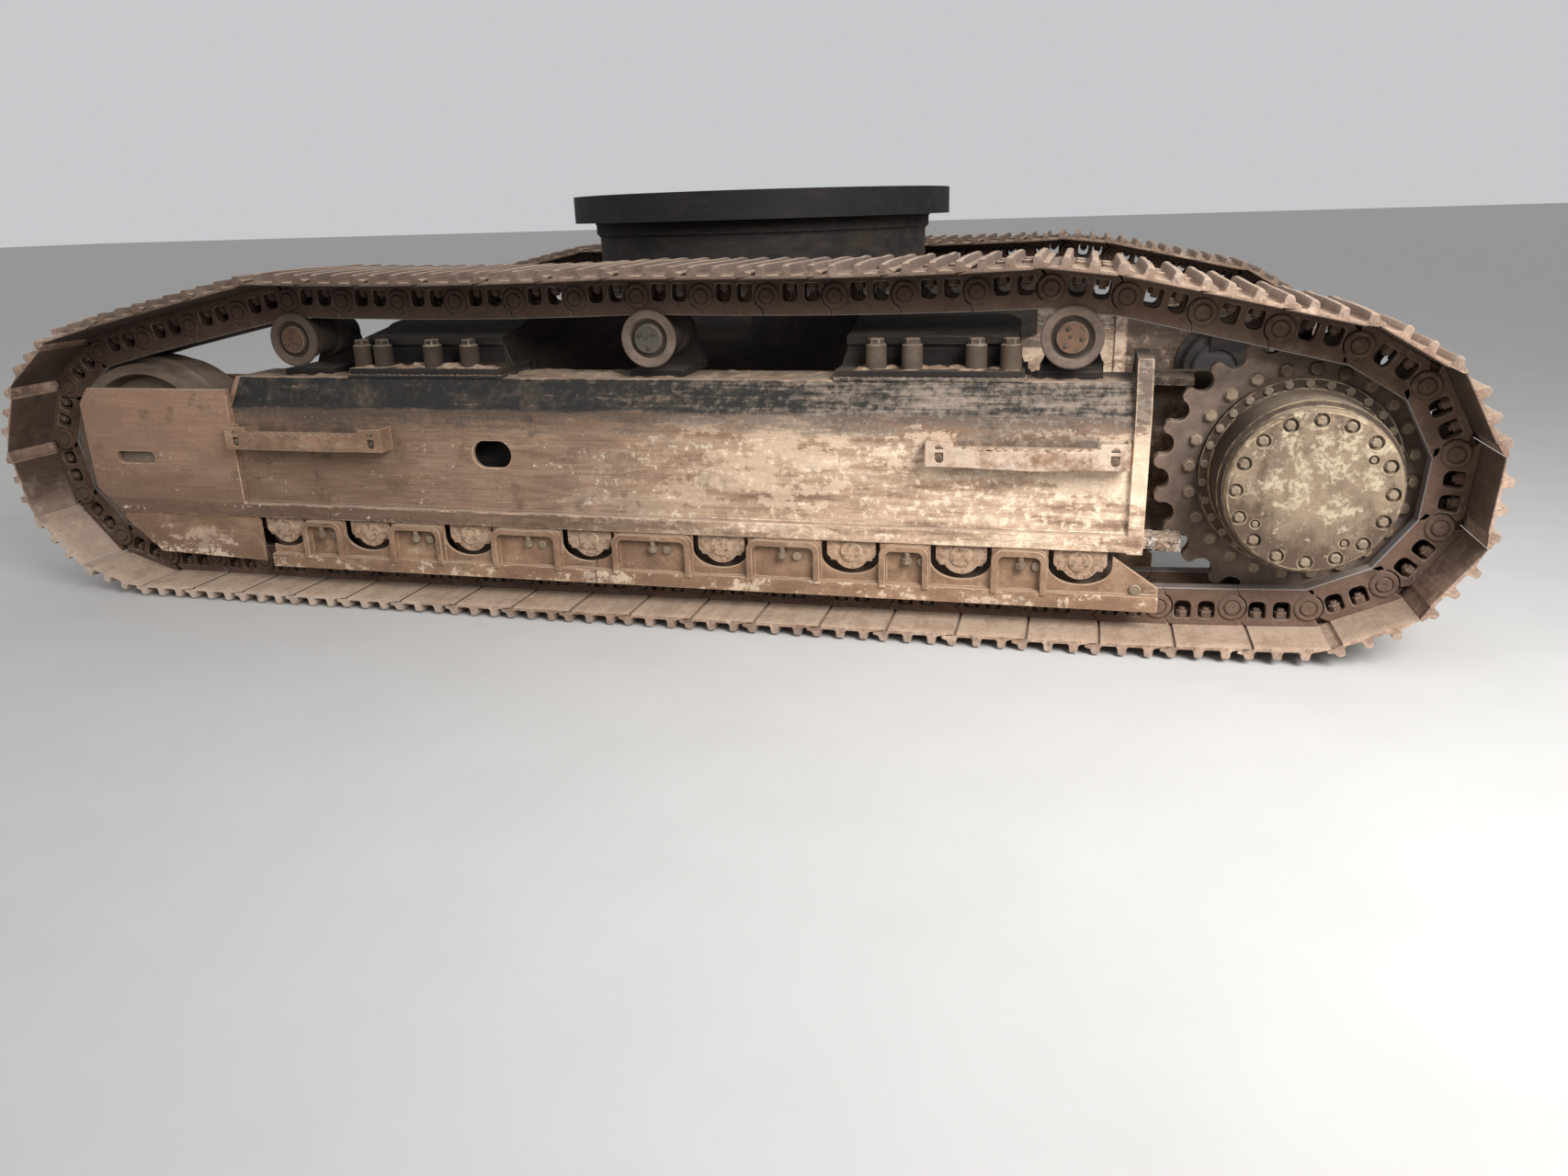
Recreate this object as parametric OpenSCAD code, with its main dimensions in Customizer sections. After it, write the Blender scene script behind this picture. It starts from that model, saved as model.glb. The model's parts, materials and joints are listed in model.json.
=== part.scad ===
// Crawler undercarriage of a large excavator: two track sides, a carbody and a slewing ring.
// +X points forward to the idlers, +Y to the machine's left, +Z up.
// The origin lies on the ground under the slewing axis. Lengths are in millimetres.

/* [Track chain] */
// Distance between two chain pins
link_pitch = 216; // [206:1:226]
// Shoes in one track
link_count = 49; // [47:1:51]
// Width of a track shoe
shoe_w = 600; // [560:10:800]
// Thickness of the shoe plate
shoe_t = 13; // [10:1:18]
// Height of a grouser over the shoe plate
grouser_h = 32; // [20:1:40]
// Width of a grouser at its tip
grouser_tip = 20; // [10:1:22]
// Width of a grouser at its root
grouser_root = 36; // [26:1:44]
// Distance between two grousers
grouser_gap = 76; // [66:1:80]
// Height from the pin axis to the shoe, and to the rail
pin_h = 60; // [54:1:66]
// Distance between the two rails of a chain
rail_gap = 124; // [110:2:140]
// Width of a rail
rail_w = 48; // [40:1:54]
// Sag of the upper run between two carrier rollers
sag = 12; // [4:1:24]

/* [Stance] */
// Distance between the middles of the two tracks
gauge = 2740; // [2600:10:3000]
// Slewing axis to sprocket axle
sprocket_x = 2015; // [1960:5:2100]
// Distance from the chain pins' ground line up to the lowest pin on the sprocket
sprocket_lift = 15; // [4:1:30]
// The same for the idler
idler_lift = 2; // [1:1:20]

/* [Sprocket] */
// Teeth, an odd number: each pin lands in every second gap
teeth = 23; // [21:2:25]
// Width of a tooth
tooth_w = 50; // [40:1:60]
// Radius of the round gap between two teeth
tooth_gap_r = 33; // [30:1:35]
// Height of a tooth's tip over the pin circle
tooth_tip = 14; // [8:1:20]
// Turn of the pin that the walk round the track starts from
first_pin = 262; // [255:1:266]

/* [Final drive] */
// Radius of the bolted outer cover
cover_r = 234; // [220:1:238]
// Radius of the drum behind the cover
drum_r = 250; // [244:1:260]
// Radius of the bolted hub flange
hub_r = 285; // [270:1:290]
// Track's middle to the outer face of the cover
cover_y = 280; // [250:2:290]
// Radius of the travel motor
motor_r = 150; // [120:1:180]
// Length of the travel motor
motor_len = 240; // [180:5:300]

/* [Idler] */
// Radius of the idler's treads
idler_r = 330; // [310:1:345]
// Height of the guide ring between the treads
idler_ring = 22; // [14:1:28]
// Radius of the idler's axle
idler_axle_r = 50; // [40:1:60]

/* [Rollers] */
// Tread radius of a track roller
roller_r = 97; // [88:1:104]
// Height of a track roller's flange
roller_flange = 20; // [12:1:24]
// Roller axle to the foot of the side frame
roller_seat = 38; // [34:1:46]
// Tread radius of a carrier roller
carrier_r = 74; // [64:1:80]
// Carrier axle over the top of the side frame
carrier_up = 130; // [120:1:150]
// Radius of a roller axle
axle_r = 35; // [28:1:38]

/* [Side frame] */
// Width of the side frame
frame_w = 360; // [350:2:380]
// Height of the side frame
frame_h = 500; // [470:5:530]
// Width of its flat top
frame_top_w = 220; // [200:5:260]
// Height over which the shoulders slope
shoulder_h = 98; // [80:1:120]
// Thickness of its walls
wall = 20; // [14:1:24]
// Height of the lip along its foot
lip_h = 56; // [40:1:70]
// How far the lip and the fork plates stand out
lip_out = 20; // [14:1:26]
// Height of the bay that the track rollers reach into
bay_h = 100; // [92:1:130]

/* [Guards and steps] */
// Ground clearance of the roller guard
guard_z = 118; // [90:1:125]
// Height of the bar along the guard's foot
guard_bar = 50; // [40:1:60]
// Half the width of the notch under a roller
notch_r = 95; // [92:1:100]
// How far the guard's ribs stand out
rib_out = 40; // [25:1:48]
// How far a step stands out of the side frame
step_out = 70; // [50:1:90]

/* [Carbody] */
// Thickness of the pedestal's foot outside its top bore
pedestal_t = 72; // [60:1:80]
// From the pedestal to the sides of the centre box
box_edge = 20; // [10:2:40]
// Underside of the carbody
belly_z = 600; // [560:5:640]
// Top of the centre box
box_top = 1000; // [970:5:1040]
// Height of the pedestal over the centre box
pedestal_h = 236; // [180:2:280]
// Thickness of the flange on the pedestal
flange_t = 40; // [30:1:45]
// Length of a leg's flange along the side frame
foot_len = 586; // [560:2:600]

/* [Slewing ring] */
// Width of the fixed race from its tooth roots to where the races meet
race_in_w = 115; // [108:1:124]
// Width of the turning race
race_out_w = 82; // [76:1:100]
// Height of a race
race_h = 104; // [90:1:130]
// Circle of fastening holes outside the place where the races meet
bolt_in = 44; // [36:1:46]
// Fastening holes in the turning race
ring_bolts = 36; // [24:4:40]
// Radius of a fastening hole
ring_hole_r = 13; // [10:1:16]
// Teeth of the inner gear
gear_teeth = 98; // [94:1:100]
// Module of the inner gear
gear_module = 12; // [11:0.5:12]

/* [Hidden] */
LEFT = 1;
RIGHT = -1;

// Clearances: a seated curved face, a part beside a turning one, and the races of the slewing ring
seat = 0.4;
side_gap = 4;
race_gap = 0.6;

// Facets: exact round faces need no count, flat-sided bolts have six
$fn = 64;
HEX = 6;

// Heights of the chain and of what runs on it
pin_z = grouser_h + shoe_t + pin_h;
rail_z = pin_z + pin_h;
roller_z = rail_z + roller_r;
frame_z = roller_z + roller_seat;
frame_top = frame_z + frame_h;
carrier_z = frame_top + carrier_up;

// Pin circles of the sprocket and of the idler
tooth_turn = 360 / teeth;
sprocket_r = link_pitch / (2 * sin(tooth_turn));
sprocket_z = pin_z + sprocket_r + sprocket_lift;
idler_pin_r = sqrt(pow(idler_r + pin_h, 2) + pow(link_pitch / 2, 2));
idler_z = pin_z + idler_pin_r + idler_lift;

// Places along the side frame, counted in links forward of the sprocket axle
roller_stations = [2.86, 4.54, 6.17, 8.2, 10.38, 12.46, 14.31, 15.95];
carrier_stations = [3.12, 9.27, 15.4];
foot_stations = [5.1, 13.14];
function at_station(links) = links * link_pitch - sprocket_x;
roller_xs = [for (s = roller_stations) at_station(s)];
carrier_xs = [for (s = carrier_stations) at_station(s)];
foot_xs = [for (s = foot_stations) at_station(s)];

// Path of the chain pins, as points from the first pin forward along the ground and round
arc_steps = 40;
run_steps = 8;
corner_room = 0.75 * link_pitch;
ground_rear = roller_xs[0] - corner_room;
ground_front = roller_xs[len(roller_xs) - 1] + corner_room / 2;
axle_rear = [-sprocket_x, sprocket_z];

function polar(c, r, a) = [c[0] + r * cos(a), c[1] + r * sin(a)];
function arc_points(c, r, a, b, n) = [for (i = [0:n]) polar(c, r, a + (b - a) * i / n)];
function bearing(p, c) = atan2(p[1] - c[1], p[0] - c[0]);
// Turn of the point where a line from p touches the circle, on the chosen side
function touch(p, c, r, side) = bearing(p, c) + side * acos(r / norm(p - c));
// Turn at which the line over two circles touches both of them
function over(c1, r1, c2, r2) = bearing(c2, c1) - acos((r1 - r2) / norm(c2 - c1));
function sagging(a, b) =
    [for (i = [1:run_steps - 1]) let (t = i / run_steps) a + (b - a) * t - [0, 4 * sag * t * (1 - t)]];

function pin_path(ix, rs) =
    let (
        idler = [ix, idler_z],
        carriers = [for (x = carrier_xs) [x, carrier_z]],
        leave = touch([ground_rear, pin_z], axle_rear, sprocket_r, -1) + 360,
        low = touch([ground_front, pin_z], idler, idler_pin_r, 1),
        up = over(idler, idler_pin_r, carriers[2], rs[2]),
        down = over(carriers[0], rs[0], axle_rear, sprocket_r) + 360,
        tops = [for (i = [0:2]) polar(carriers[i], rs[i], 90)]
    )
    concat(
        arc_points(axle_rear, sprocket_r, first_pin, leave, run_steps),
        [[ground_rear, pin_z], [ground_front, pin_z]],
        arc_points(idler, idler_pin_r, low, up, arc_steps),
        arc_points(carriers[2], rs[2], up, 90, 2),
        sagging(tops[2], tops[1]),
        [tops[1]],
        sagging(tops[1], tops[0]),
        arc_points(carriers[0], rs[0], 90, down, 2),
        arc_points(axle_rear, sprocket_r, down, first_pin, arc_steps),
        [for (i = [1:run_steps]) polar(axle_rear, sprocket_r, first_pin + i * tooth_turn / 2)]
    );
path_end = 2 * run_steps + 2 * arc_steps + 10 + run_steps - 1;

// Where the stretch from a to b leaves a circle of one link round p, as a share of the stretch
function leaves(p, a, b) =
    let (
        d = b - a,
        f = a - p,
        m = d * d,
        n = d * f,
        k = f * f - link_pitch * link_pitch
    )
    (sqrt(n * n - m * k) - n) / m;
// Steps along the path one link at a time and gives each pin with its place along the path
function walk(path, n, p, i) =
    n == 0 ? [] :
    norm(path[i + 1] - p) < link_pitch && i < len(path) - 2 ? walk(path, n, p, i + 1) :
    let (
        t = leaves(p, path[i], path[i + 1]),
        q = path[i] + (path[i + 1] - path[i]) * t
    )
    concat([[q[0], q[1], i + t]], walk(path, n - 1, q, i));
function walk_round(ix, rs) = let (path = pin_path(ix, rs)) walk(path, link_count, path[0], 0);

// The idler axle's place at which the last pin meets the first one
function closes(rs, low, high, n) =
    let (middle = (low + high) / 2, last = walk_round(middle, rs)[link_count - 1])
    n == 0 ? middle :
    last[2] > path_end ? closes(rs, middle, high, n - 1) : closes(rs, low, middle, n - 1);
guess = (link_count * link_pitch - PI * (sprocket_r + idler_pin_r)) / 2 - sprocket_x;
function idler_place(rs) = closes(rs, guess - link_pitch, guess + link_pitch / 2, 24);

// Distance from a point to a straight link, and from a carrier axle to the nearest link
function to_link(c, p, q) =
    let (t = max(0, min(1, ((c - p) * (q - p)) / ((q - p) * (q - p))))) norm(p + (q - p) * t - c);
function slack(pins, c, r) =
    min([for (i = [0:link_count - 1]) to_link(c, pins[i], pins[(i + 1) % link_count])]) - pin_h - r;
function pins_of(ix, rs) = [for (q = walk_round(ix, rs)) [q[0], q[1]]];
// Path radii over the carriers, mended until the rails rest on their treads
function seat_carriers(rs, n) =
    n == 0 ? rs :
    let (ix = idler_place(rs), pins = pins_of(ix, rs))
    seat_carriers([for (i = [0:2]) rs[i] - slack(pins, [carrier_xs[i], carrier_z], carrier_r)], n - 1);
carrier_path = seat_carriers([for (x = carrier_xs) carrier_r + pin_h], 5);
idler_x = idler_place(carrier_path);
pins = pins_of(idler_x, carrier_path);

// A link's middle, and the offset of a point from the pin line, a along the link and b outwards
function next_pin(i) = pins[(i + 1) % link_count];
function last_pin(i) = pins[(i + link_count - 1) % link_count];
function outwards(u) = [u[1], -u[0]];
function along(i) = (next_pin(i) - pins[i]) / link_pitch;
function on_link(i, a, b) = (pins[i] + next_pin(i)) / 2 + a * along(i) + b * outwards(along(i));
// The corner over a pin at which two neighbouring links' faces meet
function on_pin(i, b) =
    let (
        u = along(i),
        v = (pins[i] - last_pin(i)) / link_pitch,
        m = outwards(u) + outwards(v)
    )
    pins[i] + b * 2 * m / (m * m);

shoe_top = pin_h + shoe_t;
tip_top = shoe_top + grouser_h;
rail_in = rail_gap / 2;
rail_out = rail_in + rail_w;

// Outline of a shoe's outer face, as [along the link, out from the pin line]
function grouser(a) = [
    [a - grouser_root / 2, shoe_top], [a - grouser_tip / 2, tip_top],
    [a + grouser_tip / 2, tip_top], [a + grouser_root / 2, shoe_top]
];
shoe_outline = concat(
    [for (i = [1:3]) grouser(-grouser_gap)[i]],
    grouser(0),
    [for (i = [0:2]) grouser(grouser_gap)[i]]
);

// Widths across a track side, counted from its middle
idler_half = rail_out + 2;
hub_half = idler_half + 13;
arm_in = hub_half + side_gap;
half_w = frame_w / 2;

// Radii of the slewing ring and of the pedestal under it
gear_tip = gear_module * (gear_teeth / 2 - 1);
gear_root = gear_module * (gear_teeth / 2 + 1.25);
race_r = gear_root + race_in_w;
ring_r = race_r + race_out_w;
ring_bolt_r = race_r + bolt_in;
bore_r = gear_root + 25;
pedestal_r = bore_r + pedestal_t;
box_half = pedestal_r + box_edge;
plate_out = half_w + lip_out;
arm_out = half_w - 4 - seat;
collar_in = hub_half + side_gap + 3;
collar_out = half_w - 2;
bracket_in = -(rail_out + 15);
bracket_out = bracket_in - 40;

// Ends of the side frame
end_rear = roller_xs[0] - 133;
end_t = 47;
end_rise = 70;
fork_back = 420;
fork_nose = 205;
box_front = idler_x - fork_back;
fork_front = idler_x + fork_nose;
fork_foot = 29;
fork_head = 34;
fork_low = frame_z + fork_foot;
fork_high = frame_top - fork_head;
block_h = 70;
cavity_z = frame_z + bay_h + wall;
sleeve_h = 75;
sleeve_r = 32.5;
pad_t = 32;
pad_top = frame_top + pad_t;

// Sets out a child on one side of the machine, outwards being away from the carbody
module on_side(s) {
    if (s > 0) translate([0, gauge / 2, 0]) children();
    else mirror([0, 1, 0]) translate([0, gauge / 2, 0]) children();
}

// Pushes an outline in X and Z from y0 to y1
module across(y0, y1) {
    translate([0, y1, 0]) rotate([90, 0, 0]) linear_extrude(y1 - y0) children();
}

// Pushes an outline in Y and Z from x0 to x1
module lengthways(x0, x1) {
    translate([x0, 0, 0]) rotate([90, 0, 90]) linear_extrude(x1 - x0) children();
}

// Spins a profile of radius and y round an axle along Y
module spun(x, z) {
    translate([x, 0, z]) rotate([-90, 0, 0]) rotate_extrude() children();
}

// A shaft along Y
module shaft(x, z, r, y0, y1) {
    translate([x, y0, z]) rotate([-90, 0, 0]) cylinder(r = r, h = y1 - y0);
}

// An outline mirrored across x = 0
module both_halves() {
    children();
    mirror([1, 0]) children();
}

module stadium(len, wide) {
    square([len - wide, wide], center = true);
    for (e = [-1, 1]) translate([e * (len - wide) / 2, 0]) circle(r = wide / 2);
}

// Track: one closed loop with its shoes in the outline
module track() {
    outer = [for (i = [0:link_count - 1])
        each concat([on_pin(i, shoe_top)], [for (p = shoe_outline) on_link(i, p[0], p[1])])];
    inner = [for (i = [0:link_count - 1]) on_pin(i, pin_h)];
    color("#8a7566") across(-shoe_w / 2, shoe_w / 2) difference() {
        polygon(outer);
        polygon(inner);
    }
}

// Chain rails, one band each side of the sprocket's teeth
module track_links() {
    outer = [for (i = [0:link_count - 1]) on_pin(i, pin_h)];
    inner = [for (i = [0:link_count - 1]) on_pin(i, -pin_h)];
    color("#5c4438") for (s = [-1, 1])
        translate([0, s * (rail_in + rail_out) / 2, 0]) across(-rail_w / 2, rail_w / 2) difference() {
            polygon(outer);
            polygon(inner);
        }
}

// Sprocket: a toothed ring with round gaps that flare to pointed teeth
module sprocket() {
    tip_r = sprocket_r + tooth_tip;
    flare = 2 * tooth_tip + 2;
    color("#6a5046") translate([-sprocket_x, 0, sprocket_z]) across(-tooth_w / 2, tooth_w / 2) difference() {
        circle(r = tip_r);
        circle(r = hub_r + seat);
        for (k = [0:teeth - 1]) rotate(first_pin + k * tooth_turn) translate([sprocket_r, 0]) {
            circle(r = tooth_gap_r);
            polygon([
                [0, -tooth_gap_r], [2 * tooth_tip, -tooth_gap_r - flare],
                [2 * tooth_tip, tooth_gap_r + flare], [0, tooth_gap_r]
            ]);
        }
    }
}

// Final drive: fixed flange, neck, turning housing, hub flange, drum and cover with sunk bolt seats
cover_bolts = 16;
bolt_seat_r = 20;
plug_seat_r = 13;
seat_deep = 12;
module final_drive() {
    face = tooth_w / 2;
    seats_r = cover_r - bolt_seat_r - 11;
    turn = 360 / cover_bolts;
    color("#7d6a58") difference() {
        spun(-sprocket_x, sprocket_z) polygon([
            [0, bracket_in], [hub_r + 5, bracket_in], [hub_r + 5, bracket_in + 28],
            [hub_r - 50, bracket_in + 34], [hub_r - 50, -face - 35], [sprocket_r - 62, -face - 35],
            [sprocket_r - 62, -face], [hub_r, -face], [hub_r, face + 24], [drum_r + 6, face + 28],
            [drum_r, face + 40], [drum_r, cover_y - 62], [cover_r, cover_y - 48],
            [cover_r, cover_y - 8], [cover_r - 8, cover_y], [0, cover_y]
        ]);
        cover_seats(seats_r, bolt_seat_r, [for (k = [1:cover_bolts]) k * turn]);
        cover_seats(seats_r - 1.55 * bolt_seat_r, plug_seat_r, [for (k = [6.5, 10.5, 14.5]) k * turn]);
    }
}

// Cuts round seats into the cover at the given turns
module cover_seats(ring_r, r, turns) {
    across(cover_y - seat_deep, cover_y + 1) for (a = turns)
        translate(polar([-sprocket_x, sprocket_z], ring_r, a)) circle(r = r);
}

// Travel motor: stepped body on the inner side of the rear bracket
module travel_motor() {
    back = bracket_out - motor_len;
    color("#3b3a38") spun(-sprocket_x, sprocket_z) polygon([
        [0, bracket_out], [motor_r + 30, bracket_out], [motor_r + 30, bracket_out - 24],
        [motor_r, bracket_out - 30], [motor_r, back + 60], [motor_r - 35, back + 40],
        [motor_r - 35, back + 8], [motor_r - 43, back], [0, back]
    ]);
}

// Guard over the travel motor: a half shell with a back plate
guard_room = 95;
guard_shell = 10;
module motor_guard() {
    shell_r = motor_r + guard_room;
    len = motor_len + 2 * guard_shell;
    color("#4a443e") difference() {
        translate([-sprocket_x, bracket_out, sprocket_z]) rotate([90, 0, 0]) difference() {
            cylinder(r = shell_r, h = len);
            translate([0, 0, -1]) cylinder(r = shell_r - guard_shell, h = len - guard_shell + 1);
            translate([0, 0, len - guard_shell - 1]) cylinder(r = motor_r * 0.6, h = guard_shell + 2);
        }
        translate([-sprocket_x + 4 * guard_shell, bracket_out - len - 1, sprocket_z - shell_r - 1])
            cube([shell_r, len + 2, 2 * shell_r + 2]);
    }
}

// Idler: two treads, a guide ring between them, dished webs and a bored hub
module idler() {
    ring = idler_r + idler_ring;
    bore = idler_axle_r + seat;
    color("#6b5a4c") spun(idler_x, idler_z) both_sides_of_y([
        [ring, rail_in - 16], [ring - 8, rail_in - 9], [idler_r - seat, rail_in - 8],
        [idler_r - seat, idler_half], [idler_r - 36, idler_half], [idler_r - 54, idler_half - 52],
        [idler_axle_r + 78, idler_half - 64], [idler_axle_r + 52, hub_half], [bore, hub_half]
    ]);
}

// A closed profile from its half at positive y
module both_sides_of_y(half) {
    polygon(concat(half, [for (i = [len(half) - 1:-1:0]) [half[i][0], -half[i][1]]]));
}

// Yoke: two guided arms, the cross piece behind the idler, the axle and the spring's seat
yoke_nose = 112;
yoke_cut = 14;
yoke_gap = 16;
spring_gap = 90;
module idler_yoke() {
    back = box_front + 8;
    nose = idler_x + yoke_nose;
    low = idler_z - block_h;
    high = idler_z + block_h;
    color("#554a42") {
        for (s = [-1, 1]) translate([0, s * (arm_in + arm_out) / 2, 0])
            across(-(arm_out - arm_in) / 2, (arm_out - arm_in) / 2) polygon([
                [back, low], [nose - yoke_cut, low], [nose, low + yoke_cut],
                [nose, high - yoke_cut], [nose - yoke_cut, high], [back, high]
            ]);
        across(-arm_in - 1, arm_in + 1) translate([back, low])
            square([idler_x - idler_r - idler_ring - yoke_gap - back, 2 * block_h]);
        shaft(idler_x, idler_z, idler_axle_r, -arm_in - 1, arm_in + 1);
        translate([box_front - spring_gap, 0, idler_z]) rotate([0, 90, 0])
            cylinder(r = block_h - 2, h = back - box_front + spring_gap + 2);
    }
}

// Recoil spring and grease cylinder that push the yoke forward
spring_len = 560;
cylinder_len = 500;
wire = 34;
module track_adjuster() {
    spring_r = idler_z - cavity_z - 6;
    turns = floor(spring_len / (1.45 * wire));
    step = spring_len / turns;
    color("#74695c") translate([box_front - spring_gap - spring_len, 0, idler_z]) rotate([0, 90, 0]) {
        rotate_extrude() {
            square([spring_r - wire, spring_len]);
            for (i = [0:turns - 1]) translate([spring_r - wire, (i + 0.5) * step]) circle(r = wire / 2);
        }
        translate([0, 0, -cylinder_len]) cylinder(r = spring_r * 0.7, h = cylinder_len);
    }
}

// Track rollers: flanged shells, bored for their axles
module track_rollers() {
    r = roller_r - seat;
    bore = axle_r + seat;
    color("#6f5c4e") for (x = roller_xs) spun(x, roller_z) both_sides_of_y([
        [r - 16, rail_in - 24], [r, rail_in - 12], [r, rail_out + 1],
        [r + roller_flange, rail_out + 3], [r + roller_flange, rail_out + 12], [r - 22, hub_half],
        [bore, hub_half]
    ]);
}

// Roller collars: the blocks at both ends of each axle, bolted up under the side frame
collar_half = 80;
collar_corner = 16;
collar_drop = 24;
collar_boss = 60;
cap_out = 7;
module roller_collars() {
    color("#7b675a") for (x = roller_xs) {
        shaft(x, roller_z, axle_r, -collar_out + 1, collar_out - 1);
        for (s = [-1, 1]) {
            translate([0, s * (collar_in + collar_out) / 2, 0])
                across((collar_in - collar_out) / 2, (collar_out - collar_in) / 2) collar_outline(x);
            translate([0, s * (collar_out + cap_out / 2 - 1), 0])
                shaft(x, roller_z, roller_seat - 4, -cap_out / 2 - 1, cap_out / 2 + 1);
        }
    }
}

// A block with round lower corners, a round boss below its middle and a lug on each side of it
module collar_outline(x) {
    foot = roller_z - collar_drop;
    flat = collar_half - collar_corner;
    translate([x - collar_half, foot + collar_corner])
        square([2 * collar_half, frame_z - foot - collar_corner]);
    translate([x - flat, foot]) square([2 * flat, collar_corner + 1]);
    for (s = [-1, 1]) {
        translate([x + s * flat, foot + collar_corner]) circle(r = collar_corner);
        translate([x + s * collar_boss - 9, foot - 8]) square([18, 9]);
    }
    intersection() {
        translate([x, roller_z]) circle(r = collar_boss);
        translate([x - collar_boss, roller_z - collar_boss])
            square([2 * collar_boss, collar_boss + frame_z - roller_z]);
    }
}

// Carrier rollers: cantilevered, with a cover sunk in the outer rim
module carrier_rollers() {
    face = rail_out + 18;
    flange = carrier_r + 18;
    r = carrier_r - seat;
    color("#7a6552") for (x = carrier_xs) spun(x, carrier_z) polygon([
        [axle_r + seat, -rail_out - 6], [r - 8, -rail_out - 6], [r, -rail_out + 2], [r, -rail_in + 4],
        [r - 10, -rail_in + 14], [r - 10, rail_in - 14], [r, rail_in - 4], [r, rail_out + 2],
        [flange, rail_out + 4], [flange, face - 4], [flange - 4, face], [carrier_r - 8, face],
        [carrier_r - 12, face - 12], [carrier_r - 26, face - 12], [carrier_r - 28, face - 3],
        [0, face - 3], [0, face - 26], [axle_r + seat, face - 26]
    ]);
}

// Carrier brackets: a foot on the side frame's top, a column and the clamped axle
module carrier_brackets() {
    face = rail_out + 18;
    clamp_r = axle_r + 27;
    column_in = -rail_out - 6 - side_gap;
    column_out = column_in - 66;
    color("#4d4239") for (x = carrier_xs) {
        shaft(x, carrier_z, axle_r, column_out - 12, face - 28);
        shaft(x, carrier_z, clamp_r, column_out, column_in);
        across(column_out, column_in) polygon([
            [x - 95, frame_top + 22], [x - clamp_r + 4, carrier_z], [x - 16, carrier_z + clamp_r + 22],
            [x + 16, carrier_z + clamp_r + 22], [x + clamp_r - 4, carrier_z], [x + 95, frame_top + 22]
        ]);
        translate([x - 95, column_out, frame_top]) cube([190, frame_top_w / 2 - column_out - 40, 24]);
    }
}

// Side frame: a hollow box with sloped shoulders over the roller bay, a fork and a rear bracket
module side_frame() {
    slope = (half_w - frame_top_w / 2) / shoulder_h;
    top_in = frame_top_w / 2 - wall * (sqrt(1 + slope * slope) - slope);
    side_drop = shoulder_h + wall * (sqrt(1 + 1 / slope / slope) - 1 / slope);
    color("#a58a72") difference() {
        union() {
            lengthways(end_rear - 1, box_front) difference() {
                both_halves() polygon([
                    [0, frame_z], [plate_out, frame_z], [plate_out, frame_z + lip_h - 6],
                    [half_w, frame_z + lip_h], [half_w, frame_top - shoulder_h], [frame_top_w / 2, frame_top],
                    [0, frame_top]
                ]);
                square([2 * (half_w - 2 * wall), 2 * (frame_z + bay_h)], center = true);
                both_halves() polygon([
                    [0, cavity_z], [half_w - wall, cavity_z], [half_w - wall, frame_top - side_drop],
                    [top_in, frame_top - wall], [0, frame_top - wall]
                ]);
            }
            front_bulkhead();
            for (s = [-1, 1]) fork_plate(s);
            end_plate();
            adjuster_stop();
            rear_bracket();
            scraper();
        }
        translate([at_station(11.92), half_w + 1, frame_z + lip_h + 194]) across_hole()
            stadium(142, 92);
    }
}

// Turns an outline so that it cuts through the outer wall only
module across_hole() {
    rotate([90, 0, 0]) linear_extrude(wall + 2) children();
}

module front_bulkhead() {
    difference() {
        lengthways(box_front - wall, box_front) difference() {
            both_halves() polygon([
                [0, frame_z + bay_h], [half_w, frame_z + bay_h], [half_w, frame_top - shoulder_h],
                [frame_top_w / 2, frame_top], [0, frame_top]
            ]);
        }
        translate([box_front - 2 * wall, 0, idler_z]) rotate([0, 90, 0]) cylinder(r = 76, h = 4 * wall);
    }
}

// Fork plate with its slot, the guides for the yoke and the lip that carries the front guard
module fork_plate(s) {
    plate_in = half_w - 4;
    mirror([0, s > 0 ? 0 : 1, 0]) {
        across(plate_in, plate_out) difference() {
            polygon([
                [box_front - 20, fork_low], [fork_front - 70, fork_low], [fork_front, fork_low + 66],
                [fork_front, fork_high - 60], [fork_front - 46, fork_high], [box_front - 20, fork_high]
            ]);
            translate([idler_x, idler_z]) stadium(168, 43);
        }
        across(half_w - 20, plate_out) polygon([
            [box_front - 20, frame_z], [fork_front - 84, frame_z], [fork_front - 70, frame_z + lip_h],
            [box_front - 20, frame_z + lip_h]
        ]);
        for (z = [idler_z + block_h + seat, idler_z - block_h - seat - 28])
            across(arm_in, plate_in + 1)
                translate([box_front - 1, z]) square([fork_front - box_front - 20, 28]);
    }
}

// Rear end plate that closes the box
module end_plate() {
    lengthways(end_rear - end_t, end_rear) both_halves() polygon([
        [0, frame_z - 6], [plate_out, frame_z - 6], [plate_out, frame_top - shoulder_h + 20],
        [half_w - 52, frame_top + end_rise], [0, frame_top + end_rise]
    ]);
}

// Stop inside the box for the grease cylinder
module adjuster_stop() {
    x = box_front - spring_gap - spring_len - cylinder_len;
    lengthways(x - wall, x) translate([-half_w + wall / 2, cavity_z - 1])
        square([2 * half_w - wall, frame_top - shoulder_h - cavity_z]);
}

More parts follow.
